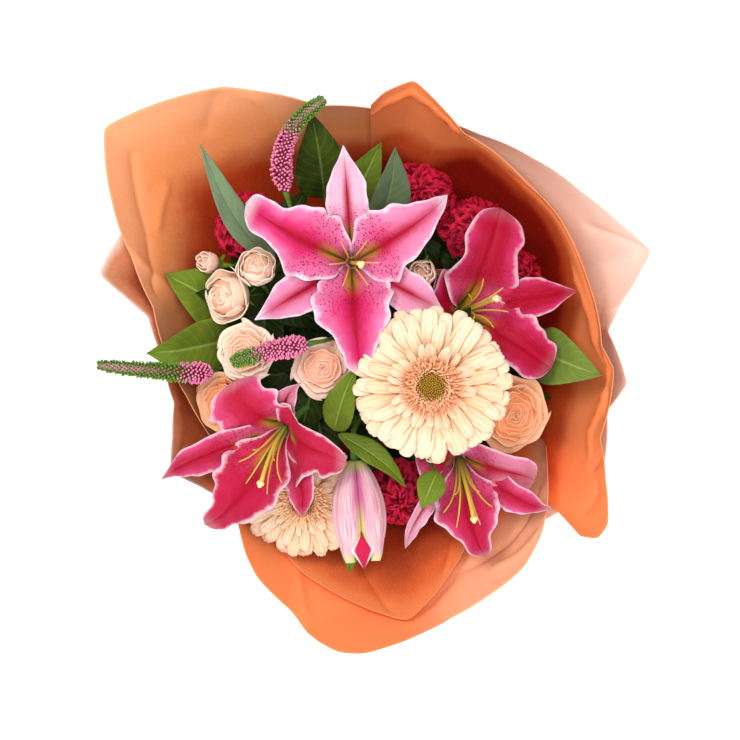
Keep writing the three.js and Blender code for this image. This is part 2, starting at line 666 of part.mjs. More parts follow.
// ---- The wrapping --------------------------------------------------------------------------------
// Sheets lie round the stems in layers, the first inside. Each has a straight handle below the waist,
// and above it runs over the bouquet's belly to its rim. A rim point is [turn in degrees, radius, height].
const WRAP = { thickness: 0.8, waistRadius: 27, layerStep: 1.3, handle: 95, handleFlare: 3 };
const bellyRadius = (turn) => 152 + 8 * Math.cos(turn);
const bellyHeight = (turn) => 102 - 7 * Math.cos(turn);
const SHEETS = [
  {
    name: "wrap_lip_inner",
    layer: 0,
    material: WRAP_ORANGE,
    rim: [
      [215, 127, 126], [228, 136, 134], [240, 160, 142], [252.5, 183, 144], [265, 195, 156],
      [277, 207, 167], [284, 192, 155], [290, 179, 146], [295.4, 166, 140], [308, 146, 136],
      [325, 127, 122],
    ],
  },
  {
    name: "wrap_lip",
    layer: 1,
    material: WRAP_ORANGE,
    rim: [
      [222, 155, 150], [231.8, 166, 165], [238, 184, 165], [243, 196, 163], [252.7, 210, 160],
      [259.6, 229, 175], [263.6, 237, 181], [268, 238, 181], [274.8, 232, 171], [285, 213, 159],
      [294.5, 204, 163], [304, 198, 168], [311, 189, 170], [317.5, 177, 168], [325, 160, 158],
      [330, 150, 150],
    ],
  },
  {
    name: "wrap_right",
    layer: 2,
    material: WRAP_ORANGE,
    rim: [
      [-42, 204, 190], [-40, 214, 195], [-36.6, 213, 196], [-29, 194, 195], [-21, 178, 195],
      [-12, 177, 195], [-4, 175, 196], [1.8, 165, 196], [16, 164.6, 196], [27, 165, 196],
      [37, 166, 195], [48, 165, 193], [60, 171, 192], [68, 173, 192], [75, 185, 196],
      [82, 199, 200], [88, 189, 195], [91, 180, 188],
    ],
  },
  {
    name: "wrap_left",
    layer: 3,
    material: WRAP_ORANGE,
    rim: [
      [75, 168, 140], [83, 174, 148], [91, 178, 160], [97, 181, 172], [103, 184, 180],
      [113, 207, 186], [120, 225, 188], [131, 242, 185], [140.4, 256, 180], [150, 222, 178],
      [159, 192, 175], [169, 168, 172], [182, 155, 168], [194, 146, 165], [209, 142, 150],
      [215, 146, 135], [222, 150, 118],
    ],
  },
  {
    name: "wrap_back_right",
    layer: 4,
    material: WRAP_PEACH,
    rim: [
      [-60, 176, 120], [-45, 188, 138], [-30, 196, 157], [-14.6, 178, 178], [-7.4, 188, 186],
      [5, 171, 185], [11, 183, 186], [17, 204, 188], [20, 216, 190], [28, 204, 188],
      [38, 192, 186], [51, 182, 182], [64, 177, 172], [75, 177, 150], [86, 176, 135],
      [98, 170, 120], [110, 160, 105],
    ],
  },
  {
    name: "wrap_back_left",
    layer: 5,
    material: WRAP_PEACH,
    rim: [
      [140, 172, 105], [146, 186, 128], [152.8, 204, 152], [158, 207, 165], [164.5, 211, 180],
      [168, 190, 170], [172, 172, 158], [184, 160, 145], [196, 158, 145], [204, 168, 155],
      [211, 180, 165], [218.5, 170, 150], [227, 164, 125], [236, 155, 105],
    ],
  },
];
const UP_THE_BELLY = [0.2, 0.42, 0.62, 0.82, 1];

const layDown = new THREE.Matrix4()
  .makeTranslation(0, WAIST_BACK, WAIST_HEIGHT)
  .multiply(new THREE.Matrix4().makeRotationX(Math.PI / 2 - LIE_ANGLE));

// A sheet is worked out lying down, because it gives way where it would sink into the surface.
const TOUCHES = 0.1; // a corner this low lies on the surface
function sheet({ layer, rim }) {
  const waist = WRAP.waistRadius + WRAP.layerStep * layer;
  const half = WRAP.thickness / 2;
  const profile = (step, [turn, radius, height]) => {
    const phi = degrees(turn);
    let r = waist + WRAP.handleFlare;
    let z = -WRAP.handle;
    if (step > 0) {
      const t = step === 1 ? 0 : UP_THE_BELLY[step - 2];
      const belly = 2 * t * (1 - t);
      r = waist * (1 - t) ** 2 + belly * (bellyRadius(phi) + 2 * layer) + radius * t * t;
      z = belly * (bellyHeight(phi) - 1.5 * layer) + height * t * t;
    }
    const point = vec(r * Math.cos(phi), r * Math.sin(phi), z).applyMatrix4(layDown);
    point.z = Math.max(point.z, half);
    return point;
  };
  const rows = UP_THE_BELLY.length + 1;
  const columns = rim.length - 1;
  const geometry = panel(rows, columns, WRAP.thickness, (u, v) =>
    profile(Math.round(u * rows), rim[Math.round(v * columns)]),
  );
  const position = geometry.getAttribute("position");
  for (let i = 0; i < position.count; i++) if (position.getZ(i) < TOUCHES) position.setZ(i, 0);
  return geometry;
}

// ---- What ties it --------------------------------------------------------------------------------
function ring(outline, sides) {
  const closed = [...outline, outline[0]].map(([r, z]) => new THREE.Vector2(r, z));
  return new THREE.LatheGeometry(closed, sides).rotateX(Math.PI / 2);
}

// Turns of twine round the stems, just under the waist.
const TWINE_TIE = { turns: 2, inside: 24.9, groove: 25.5, outside: 26.2, from: -14, turnHeight: 2.8 };
function stemTie() {
  const { turns, inside, groove, outside, from, turnHeight } = TWINE_TIE;
  const outline = [];
  for (let k = 0; k <= 2 * turns; k++) outline.push([k % 2 ? outside : groove, from + (turnHeight / 2) * k]);
  outline.push([inside, from + turnHeight * turns], [inside, from]);
  return ring(outline, 18);
}

// A ribbon round the wrapping, with a knot, two loops and two tails on the side that lies uppermost.
const BAND = { inside: 35.6, outside: 36.8, from: -19, to: -5 };
const BOW = { loop: 34, loopRise: 7, tail: 62, tailHalf: 5.5, tailSpread: 24, thickness: 0.8 };
function ribbon() {
  const { inside, outside, from, to } = BAND;
  const middle = (from + to) / 2;
  const knot = new THREE.SphereGeometry(1, 6, 4).scale(7, 4.5, 6).translate(0, outside + 2.5, middle);
  const pieces = [ring([[inside, from], [outside, from], [outside, to], [inside, to]], 20), knot];
  for (const side of [-1, 1]) {
    const loop = (t, v) => {
      const turn = 2 * Math.PI * t;
      const half = 3 + 3.5 * Math.sin(turn / 2);
      const out = (BOW.loop / 2) * (1 - Math.cos(turn));
      const rise = 2.5 + BOW.loopRise * Math.sin(turn) + 0.16 * out;
      return vec(side * out, outside + rise, middle + half * (2 * v - 1));
    };
    const tail = (t, v) => {
      const s = 2 * v - 1;
      const out = side * (1 + BOW.tailSpread * t) + BOW.tailHalf * s;
      return vec(out, outside + 3 + 4 * Math.sin(2 * t), middle - 2 - BOW.tail * t - 3 * side * s);
    };
    pieces.push(panel(5, 1, BOW.thickness, loop), panel(2, 1, BOW.thickness, tail));
  }
  return fused(pieces);
}

// ---- The bouquet ---------------------------------------------------------------------------------
const bouquet = new THREE.Group();
const bunch = new THREE.Group();
bunch.applyMatrix4(layDown);
bouquet.add(bunch);
for (const bloom of BLOOMS) bunch.add(bloomGroup(bloom));
for (const spike of SPIKES) bunch.add(part(spike.name, speedwellSpike(spike), SPEEDWELL));
STEMS.forEach((stem, n) =>
  bunch.add(part(stem.name, stemSolid(stem, n), stem.leaves ? LEAF_GREEN : STEM_GREEN)),
);
bunch.add(part("stem_tie", stemTie(), TWINE));
bunch.add(part("ribbon", ribbon(), RIBBON));
for (const piece of SHEETS) bouquet.add(part(piece.name, sheet(piece), piece.material));

export default bouquet;
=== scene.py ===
"""The looks of a hand-tied bouquet of lilies, gerberas, roses and carnations that lies in its wrapping.

Petals, leaves, stems and sheets are worked out in millimetres in the bouquet's own frame. Its origin is
the waist, where the stems are tied, z runs out along the axis towards the blooms, and x is to the right
and y up for someone who looks into them. laid_down() turns that into metres on the surface.
"""

import math
import random
from typing import NamedTuple

import bpy
import numpy as np
from bpy.props import FloatProperty, FloatVectorProperty, PointerProperty
from bpy.types import Operator, Panel, PropertyGroup
from mathutils import Matrix, Vector


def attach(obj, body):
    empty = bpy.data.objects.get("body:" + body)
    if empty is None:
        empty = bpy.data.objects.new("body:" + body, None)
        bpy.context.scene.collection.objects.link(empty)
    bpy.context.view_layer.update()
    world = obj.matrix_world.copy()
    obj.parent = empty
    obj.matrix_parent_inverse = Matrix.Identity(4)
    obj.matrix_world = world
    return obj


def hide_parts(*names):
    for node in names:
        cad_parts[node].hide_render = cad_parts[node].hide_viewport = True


bl_info = {
    "name": "Wrapped Bouquet",
    "version": (1, 0, 0),
    "blender": (4, 5, 0),
    "location": "View3D > Sidebar > Bouquet",
    "description": "Builds the blooms, leaves, stems and wrapping of a mixed bouquet round its frame",
    "category": "Add Mesh",
}

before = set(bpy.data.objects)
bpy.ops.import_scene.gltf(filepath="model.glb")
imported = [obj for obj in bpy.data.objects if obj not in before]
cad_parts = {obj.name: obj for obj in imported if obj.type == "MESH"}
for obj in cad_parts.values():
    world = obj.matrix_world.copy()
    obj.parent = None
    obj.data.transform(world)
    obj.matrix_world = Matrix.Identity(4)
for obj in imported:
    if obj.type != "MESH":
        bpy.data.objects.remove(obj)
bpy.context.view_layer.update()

# ---- How the bouquet lies ------------------------------------------------------------------------
MM = 0.001
LIE_ANGLE = math.radians(32)  # the axis above the surface
WAIST_HEIGHT = 92.4
WAIST_BACK = 258
RISE = np.array([0, math.cos(LIE_ANGLE), math.sin(LIE_ANGLE)])  # the surface's up, in the bouquet's frame
GAP = 0.3  # between a bloom and its neck, and between a bloom's cup and its heart
GOLDEN_ANGLE = math.pi * (3 - math.sqrt(5))
# How thick the blades of each kind are in their middle.
THICK = {
    "lily": 0.7, "bud": 0.9, "bud_tip": 0.8, "ray": 0.6, "tongue": 0.5, "rose": 0.8, "sepal": 0.7,
    "frill": 0.5, "leaf": 0.7, "dark_leaf": 0.6, "paper": 0.5, "ribbon": 0.6,
}
# Where the random draws of each kind of piece start. A piece adds its number to it.
SEEDS = {"lily": 0, "gerbera": 20, "rose": 40, "carnation": 60, "speedwell": 80, "stem": 100}


def laid_down(points):
    """Points of the bouquet's frame, in millimetres, as metres on the surface."""
    x, y, z = points.T
    back = y * math.sin(LIE_ANGLE) - z * math.cos(LIE_ANGLE) + WAIST_BACK
    high = y * math.cos(LIE_ANGLE) + z * math.sin(LIE_ANGLE) + WAIST_HEIGHT
    return np.stack([x, back, high], axis=1) * MM


class Bloom(NamedTuple):
    """Where a bloom stands, which way it looks and how many degrees it is turned about its axis."""

    base: tuple
    faces: tuple
    roll: float = 0
    size: float = 1
    # pale is partly a bloom's own paler colour and partly painted light that lifts a bloom lying in shade.
    pale: float = 0  # how far its colour is drawn to a paler one
    form: str = ""  # which of the forms of its kind it has


def facing(bloom, size=1.0):
    """A function that puts a bloom's points, drawn upright at the origin, in their place."""
    look = Vector((0, 0, 1)).rotation_difference(Vector(bloom.faces)).to_matrix()
    turn = np.array(look @ Matrix.Rotation(math.radians(bloom.roll), 3, "Z"))
    return lambda points: points * size @ turn.T + bloom.base


# ---- Shapes --------------------------------------------------------------------------------------
def grid(rows, columns):
    """t from 0 to 1 along a blade and s from -1 to 1 across it, at each point of rows by columns."""
    t = np.linspace(0, 1, rows + 1)[:, None] * np.ones(columns + 1)
    s = np.ones((rows + 1, 1)) * np.linspace(-1, 1, columns + 1)
    return t, s


def smooth(value, low, high):
    """0 below low, 1 above high and an even curve between."""
    x = np.clip((value - low) / (high - low), 0, 1)
    return x * x * (3 - 2 * x)


def bump(value, middle, width):
    """A hump of height 1 round middle."""
    return np.exp(-(((value - middle) / width) ** 2))


def rounded(route, rounds=2):
    """A line of points, with any further columns, whose inner corners are cut away twice over."""
    line = np.array(route, float)
    for _ in range(rounds):
        early = line[:-1] * 0.75 + line[1:] * 0.25
        late = line[:-1] * 0.25 + line[1:] * 0.75
        line = np.vstack([line[:1], np.stack([early, late], 1).reshape(-1, line.shape[1])[1:-1], line[-1:]])
    return line


class Shape:
    """The points and faces of one piece, with the numbers that its finish reads at each point."""

    CARRIED = ("along", "across", "tone", "under", "pale")
    EDGE_THINNING = 0.65  # the share of a blade's thickness that its edges lose

    def __init__(self, place=None):
        self.points = []
        self.corners = []
        self.sizes = []
        self.carried = {name: [] for name in self.CARRIED}
        self.count = 0
        self.place = place

    def add(self, points, faces, **carried):
        """Adds points, put in place, and lists of faces. Each carried value is one number or one a point."""
        self.points.append(self.place(points) if self.place else points)
        for group in faces:
            self.corners.append((np.asarray(group) + self.count).ravel())
            self.sizes.append(np.full(len(group), np.shape(group)[1]))
        for name, values in self.carried.items():
            values.append(np.broadcast_to(np.ravel(carried.get(name, 0.0)), len(points)))
        self.count += len(points)

    def blade(self, middle, t, s, thickness, tone=0.0, pale=0.0):
        """A closed thin blade round a middle surface. It is thinner towards its edges."""
        normal = np.cross(np.gradient(middle, axis=0), np.gradient(middle, axis=1))
        normal /= np.linalg.norm(normal, axis=2, keepdims=True) + 1e-12
        half = normal * (thickness / 2 * (1 - self.EDGE_THINNING * s**6))[:, :, None]
        points = np.concatenate([(middle + half).reshape(-1, 3), (middle - half).reshape(-1, 3)])
        at = np.arange(t.size).reshape(t.shape)
        a, b, c, d = (part.ravel() for part in (at[:-1, :-1], at[1:, :-1], at[1:, 1:], at[:-1, 1:]))
        edge = np.concatenate([at[:-1, 0], at[-1, :-1], at[:0:-1, -1], at[0, :0:-1]])
        following = np.roll(edge, -1)
        faces = [
            np.stack([a, b, c, d], 1),
            np.stack([a, d, c, b], 1) + t.size,
            np.stack([edge, edge + t.size, following + t.size, following], 1),
        ]
        both = {"along": np.tile(t.ravel(), 2), "across": np.tile(s.ravel(), 2)}
        under = np.repeat([0.0, 1.0], t.size)
        self.add(points, faces, under=under, tone=tone, pale=pale, **both)

    def body(self, rings, along=None, tone=0.0):
        """A closed body through rings of points, rounds by sides by 3, its ends closed by fans."""
        count, sides = rings.shape[:2]
        at = np.arange(count * sides).reshape(count, sides)
        beside = np.roll(at, -1, axis=1)
        walls = np.stack([at[:-1], beside[:-1], beside[1:], at[1:]], 2).reshape(-1, 4)
        foot, top = count * sides, count * sides + 1
        ends = [
            np.stack([beside[0], at[0], np.full(sides, foot)], 1),
            np.stack([at[-1], beside[-1], np.full(sides, top)], 1),
        ]
        points = np.concatenate([rings.reshape(-1, 3), [rings[0].mean(0)], [rings[-1].mean(0)]])
        if along is None:
            along = np.linspace(0, 1, count)
        across = np.tile(np.linspace(0, 1, sides, endpoint=False), count)
        self.add(
            points,
            [walls, *ends],
            along=np.concatenate([np.repeat(along, sides), along[[0, -1]]]),
            across=np.concatenate([across, [0, 0]]),
            tone=tone,
        )

    def tube(self, line, sides=8, tone=0.0):
        """A closed rod along a line of points with a radius as their fourth column."""
        points, radii = line[:, :3], line[:, 3]
        ahead = np.gradient(points, axis=0)
        ahead /= np.linalg.norm(ahead, axis=1, keepdims=True)
        side = np.array([0.0, 1, 0]) if abs(ahead[0][0]) > 0.8 else np.array([1.0, 0, 0])
        turns = np.linspace(0, 2 * math.pi, sides, endpoint=False)
        rings = []
        for point, radius, forward in zip(points, radii, ahead):
            side = side - forward * side.dot(forward)
            side /= np.linalg.norm(side)
            other = np.cross(forward, side)
            rings.append(point + radius * (np.outer(np.cos(turns), side) + np.outer(np.sin(turns), other)))
        self.body(np.array(rings), tone=tone)

    def bead(self, foot, tip, radius, sides, tone, waist):
        """A small bud from foot to tip. waist gives its width at even steps between them."""
        foot, tip = np.array(foot, float), np.array(tip, float)
        steps = np.linspace(0.06, 0.97, len(waist))
        line = [[*(foot + (tip - foot) * step), radius * wide] for step, wide in zip(steps, waist)]
        self.tube(np.array(line), sides, tone)

    def piece(self, name, material, slot, *nodes):
        """Makes the piece, laid down on the surface, and has it stand for those nodes of the frame."""
        points = laid_down(np.concatenate(self.points))
        corners, sizes = np.concatenate(self.corners), np.concatenate(self.sizes)
        mesh = bpy.data.meshes.new(name)
        mesh.vertices.add(len(points))
        mesh.vertices.foreach_set("co", points.ravel())
        mesh.loops.add(len(corners))
        mesh.loops.foreach_set("vertex_index", corners)
        mesh.polygons.add(len(sizes))
        mesh.polygons.foreach_set("loop_start", np.concatenate([[0], np.cumsum(sizes)[:-1]]))
        mesh.update(calc_edges=True)
        for carried, values in self.carried.items():
            layer = mesh.attributes.new(carried, "FLOAT", "POINT")
            layer.data.foreach_set("value", np.concatenate(values))
        mesh.materials.append(material)
        mesh.shade_smooth()
        made = bpy.data.objects.new(name, mesh)
        bpy.context.scene.collection.objects.link(made)
        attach(made, "root")
        if nodes:
            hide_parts(*nodes)


# ---- Shader maths --------------------------------------------------------------------------------
class Value:
    """A socket of a material. Arithmetic with it adds Math nodes."""

    def __init__(self, finish, socket):
        self.finish = finish
        self.socket = socket

    def math(self, operation, *values):
        """Adds one Math node."""
        return self.finish.node("Math", {"operation": operation}, dict(enumerate(values)))

    def __add__(self, other):
        return self.math("ADD", self, other)

    def __radd__(self, other):
        return self.math("ADD", other, self)

    def __sub__(self, other):
        return self.math("SUBTRACT", self, other)

    def __rsub__(self, other):
        return self.math("SUBTRACT", other, self)

    def __mul__(self, other):
        return self.math("MULTIPLY", self, other)

    def __rmul__(self, other):
        return self.math("MULTIPLY", other, self)

    def __abs__(self):
        return self.math("ABSOLUTE", self)

    def sine(self):
        return self.math("SINE", self)

    def between(self, low, high):
        """0 below low, 1 above high and an even curve between. With low above high it falls."""
        settings = {"interpolation_type": "SMOOTHSTEP", "clamp": True}
        ends = {1: min(low, high), 2: max(low, high), 3: float(low > high), 4: float(low < high)}
        return self.finish.node("MapRange", settings, {0: self, **ends})


class Finish:
    """A material in the making. A colour is a value, four numbers or six hexadecimal digits."""

    COLOUR_MIX = {"A": 6, "B": 7, "result": 2}

    def __init__(self, name):
        self.material = bpy.data.materials.new(name)
        self.material.use_nodes = True
        self.tree = self.material.node_tree
        self.tree.nodes.clear()

    def node(self, kind, settings=None, inputs=None, output=0):
        """Adds a node, makes its settings, and then sets or links its sockets."""
        node = self.tree.nodes.new("ShaderNode" + kind)
        for name, value in (settings or {}).items():
            setattr(node, name, value)
        for name, value in (inputs or {}).items():
            if isinstance(value, Value):
                self.tree.links.new(value.socket, node.inputs[name])
            else:
                node.inputs[name].default_value = linear(value) if isinstance(value, str) else value
        return Value(self, node.outputs[output]) if node.outputs else None

    def carried(self, *names):
        """A number that the mesh carries at each point, or one for each of some names."""
        values = [self.node("Attribute", {"attribute_name": name}, output="Fac") for name in names]
        return values if len(values) > 1 else values[0]

    def here(self):
        """The point's place, in metres."""
        return self.node("TexCoord", output="Object")

    def stretched(self, *numbers):
        """A vector from three numbers or values."""
        return self.node("CombineXYZ", inputs=dict(enumerate(numbers)))

    def noise(self, scale, detail=2.0, roughness=0.5, where=None):
        """Soft noise about 0.5, at each point's place unless a vector says where."""
        inputs = {"Vector": where or self.here(), "Scale": scale, "Detail": detail, "Roughness": roughness}
        return self.node("TexNoise", inputs=inputs)

    def spots(self, scale):
        """The distance to the nearest of scattered points, in cells."""
        return self.node("TexVoronoi", inputs={"Vector": self.here(), "Scale": scale})

    def blend(self, factor, first, second):
        """A colour between two, by a mix node."""
        settings = {"data_type": "RGBA", "clamp_factor": True}
        mixing = {0: factor, self.COLOUR_MIX["A"]: first, self.COLOUR_MIX["B"]: second}
        return self.node("Mix", settings, mixing, self.COLOUR_MIX["result"])

    def coated(self, body, *coats):
        """A colour under coats, each a mask and its colour."""
        for mask, coat in coats:
            body = self.blend(mask, body, coat)
        return body

    def relief(self, height, distance, strength=1.0):
        """A normal from a height, whose full step is that many millimetres."""
        return self.node("Bump", inputs={"Height": height, "Distance": distance * MM, "Strength": strength})

    def done(self, colour, roughness=0.5, normal=None, **constants):
        """Ends the material in one surface shader."""
        inputs = {"Base Color": colour, "Roughness": roughness}
        inputs.update({name.replace("_", " "): value for name, value in constants.items()})
        if normal:
            inputs["Normal"] = normal
        shader = self.node("BsdfPrincipled", inputs=inputs)
        self.node("OutputMaterial", inputs={"Surface": shader})
        return self.material


def linear(code):
    """A colour of six hexadecimal digits as linear light, with an opaque fourth number."""
    levels = [int(code[i : i + 2], 16) / 255 for i in (0, 2, 4)]
    return (*(x / 12.92 if x <= 0.04045 else ((x + 0.055) / 1.055) ** 2.4 for x in levels), 1.0)


def colour(name, code, description):
    """A setting that holds a colour."""
    return FloatVectorProperty(
        name=name, description=description, default=linear(code), size=4, subtype="COLOR", min=0, max=1
    )


def length(name, millimetres, description):
    """A setting that holds a length."""
    return FloatProperty(
        name=name, description=description, default=millimetres * MM, min=0, subtype="DISTANCE", unit="LENGTH"
    )


# ---- Settings ------------------------------------------------------------------------------------
class LilyLook(PropertyGroup):
    pale: colour("Pale petal", "F080B2", "Colour of the lighter lily towards its petals' edges")
    pink: colour("Petal", "DC2A6E", "Colour of the lighter lily along its middle")
    deep: colour("Deep petal", "B8002C", "Colour of the darker lilies")
    rib: colour("Midrib", "B4002A", "Colour down the middle of each petal")
    margin: colour("Margin", "FFE9F3", "Colour of the petals' edges")
    spot: colour("Spots", "A00C40", "Colour of the raised spots near the throat")
    throat: colour("Throat", "CC9C34", "Colour of the star in the throat")
    filament: colour("Filament", "DDBF4A", "Colour of the filaments and the style")
    ruffle: length("Ruffle", 3.0, "How far the broad petals' edges wave")


class GerberaLook(PropertyGroup):
    ray: colour("Ray", "FFE8C8", "Colour of the rays")
    # Painted shade: the warm colour of the rays near the heart, between them and on their undersides.
    base: colour("Ray base", "F6A262", "Colour of the rays near the heart and between them")
    fuzz: colour("Fuzz", "F5A47C", "Colour of the fuzzy ring")
    eye: colour("Eye", "866008", "Colour of the heart's middle")


class RoseLook(PropertyGroup):
    peach: colour("Peach petal", "FFC496", "Colour of the large roses")
    # The deep colours darken the petals' feet and inner rows: partly the roses' own warmer hearts, partly
    # painted shade in the hollows between the petals.
    flush: colour("Flush", "FF9C60", "Colour deep between the large roses' petals")
    cream: colour("Cream petal", "FFE0CC", "Colour of the spray roses")
    blush_and_shade: colour("Blush", "FFB08C", "Colour deep between the spray roses' petals")


class CarnationLook(PropertyGroup):
    crimson: colour("Crimson", "8E001A", "Colour of the petals")
    # The frills' edges are partly their own brighter colour and partly painted highlight.
    edge: colour("Edge", "E42A50", "Colour of the petals' frilled edges")


class SpeedwellLook(PropertyGroup):
    open: colour("Open florets", "FA94BC", "Colour of the open florets")
    young: colour("Young florets", "6E9A38", "Colour of the closed florets at the tip")


class GreenLook(PropertyGroup):
    leaf: colour("Leaf", "6A7A04", "Colour of the broad leaves")
    # Near black: partly darker leaves, partly painted shade in the gaps between the blooms.
    dark_and_shade: colour("Dark leaf", "0A1C05", "Colour of the darker leaves and of the darker patches")
    stem: colour("Stem", "5A8430", "Colour of the stems")


class WrapLook(PropertyGroup):
    orange: colour("Orange", "F98A50", "Colour of the front sheets' insides")
    # Painted shade: the deepest tint of the right sheet's inside, where the blooms shade it.
    shade: colour("Shade", "981204", "Colour of the right sheet where the blooms dampen it")
    # On the lip's right side this colour is painted light that shines through its single layer.
    outside: colour("Outside", "FFB48C", "Colour of the orange sheets' outsides and of the lip's right side")
    peach: colour("Peach", "FFE9DB", "Colour of the sheets at the back")
    ribbon: colour("Ribbon", "F0A284", "Colour of the ribbon")
    twine: colour("Twine", "B59A6A", "Colour of the twine round the stems")


class StageLook(PropertyGroup):
    floor: colour("Floor", "FFFFFF", "Colour of the floor")
    distance: length("Camera distance", 1700, "How far the camera stands from the blooms")


# ---- Lilies --------------------------------------------------------------------------------------
# The angles from the axis at which a tepal leaves the trumpet and ends, in degrees.
LILY_OPENING = 13
LILY_RECURVE = 118
# Half widths at even steps from foot to tip, as shares of the widest.
PETAL_WIDTHS = (0.08, 0.26, 0.5, 0.82, 1.0, 0.92, 0.7, 0.52, 0.38, 0.22, 0.02)
SEPAL_WIDTHS = (0.2, 0.5, 0.8, 0.97, 1.0, 0.98, 0.96, 0.9, 0.68, 0.3, 0.02)
TEPAL_LONG = 106
PETAL = {"half": 31.5, "start": 3.8, "ruffled": 1.0, "fold": 3.5, "sunk": 0, "widths": PETAL_WIDTHS}
SEPAL = {"half": 15.5, "start": 5.7, "ruffled": 0.5, "fold": 1.5, "sunk": 6, "widths": SEPAL_WIDTHS}
TIP_FROM = 0.74  # where a blunt tepal starts to round off
TRUMPET_FOOT = 3
TEPAL_WRAP = 1.05  # the most that a tepal bends round the trumpet to either side, in radians
OUTLINE_WAVE = 0.13
LILY_CUP = ((0.6, 0.2), (3.2, 0.4), (6.6, 2.6), (8.2, 5), (8.0, 7), (2.5, 7))
HEART_FOOT = 7 + GAP
# The points of a filament and of the style, each with its radius.
FILAMENT = (
    (2, 0, HEART_FOOT, 1.1), (3.4, 0, 20, 0.85), (6.5, 0, 36, 0.7), (12, 0, 48, 0.55), (18, 0, 54, 0.35),
)
STYLE = ((0, 0, HEART_FOOT, 3.0), (0, 0, 10, 1.9), (0.5, -0.5, 30, 1.3), (2, -1.4, 48, 1.3), (3, -2, 61, 1.7))


class Lily(NamedTuple):
    """A lily's place, how dark it is, how its heart leans, and how its tepals depart from their kinds.

    bends has the tepals by their number round the lily. The even ones are petals. tepal() says what each
    word does, and besides, turn moves a tepal round the axis by degrees, and pale lightens it, or deepens it
    below 0. pale is partly the tepal's own paler or deeper colour and partly painted light that lifts a
    tepal lying in shade.
    """

    base: tuple
    faces: tuple
    roll: float
    tone: float
    lean: tuple
    bends: dict


# Each tepal's pale is partly its own paler or deeper colour and partly painted light that lifts a tepal lying
# in shade.
LILIES = {
    "lily_1": Lily((-17, 66, 200), (-0.02, 0.1, 1), roll=32, tone=0.0, lean=(2, -5), bends={
        0: {"stretch": 0.95, "turn": -7, "sway": 8, "curl": 0, "slim": 0.9, "pale": 0.15},
        1: {"stretch": 0.92, "recurve": 112, "curl": 0, "sway": 1, "pale": 0.6},
        2: {"blunt": 0.5, "curl": 20, "turn": 6, "sway": -7, "slim": 0.9},
        3: {"stretch": 0.88, "sway": -2, "curl": -10, "pale": 0.2},
        4: {"stretch": 0.97, "turn": 2, "sway": 3, "blunt": 0.38},
        5: {"stretch": 0.87, "pale": 0.3},
    }),
    "lily_2": Lily((58, 27, 170), (0.52, 0.2, 0.83), roll=70, tone=0.95, lean=(-2, 6), bends={
        0: {"blunt": 0.8, "recurve": 100, "curl": 0, "stretch": 0.86, "turn": 16, "sway": -6, "wavy": 0.15},
        1: {"stretch": 0.4},
        2: {"stretch": 0.5, "recurve": 128},
        3: {"stretch": 0.62, "recurve": 128},
        4: {"stretch": 0.83, "recurve": 106, "curl": 0, "blunt": 0.75, "sway": 11, "slim": 0.88},
        5: {"recurve": 95, "curl": -10, "stretch": 0.88, "turn": -1},
    }),
    "lily_3": Lily((-62, -52, 184), (-0.45, -0.35, 0.82), roll=12, tone=0.8, lean=(-1, -17), bends={
        0: {"stretch": 0.69, "curl": 10, "turn": -6, "sway": -15, "blunt": 0.5, "pale": -0.8},
        1: {"stretch": 0.62, "sway": -10, "slim": 0.6, "curl": 60, "pale": 0.25},
        2: {"blunt": 0.95, "recurve": 112, "curl": 20, "stretch": 0.58, "sway": -10},
        3: {"curl": -15, "sway": 10, "stretch": 1.08, "slim": 0.88},
        4: {
            "blunt": 0.4, "recurve": 110, "curl": 0, "turn": -4, "sway": -15,
            "stretch": 1.04, "slim": 0.93, "pale": -0.6,
        },
        5: {"stretch": 0.74, "sway": -28, "blunt": 0.4},
    }),
    "lily_4": Lily((62, -78, 160), (0.12, -0.48, 0.86), roll=35, tone=0.66, lean=(-9, -13), bends={
        0: {
            "stretch": 0.65, "blunt": 0.7, "curl": 20, "turn": -20, "sway": -27,
            "slim": 0.88, "pale": 0.25,
        },
        1: {"stretch": 0.42},
        2: {"stretch": 0.42},
        3: {"stretch": 0.88, "pale": 0.5, "slim": 0.48, "sway": 24},
        4: {"stretch": 0.83, "recurve": 96, "slim": 0.85, "sway": 10, "blunt": 0.3, "pale": -0.3},
        5: {"stretch": 0.82, "recurve": 100, "slim": 0.85, "sway": 2},
    }),
}


def running(values):
    """The sum of the values so far, each step taken between its two ends."""
    return np.concatenate([[0], np.cumsum((values[1:] + values[:-1]) / 2)])


def eased(values, rounds=3):
    """Values along the first axis with their corners softened and their ends kept."""
    values = np.array(values, float)
    for _ in range(rounds):
        values[1:-1] = values[1:-1] * 0.5 + (values[:-2] + values[2:]) * 0.25
    return values


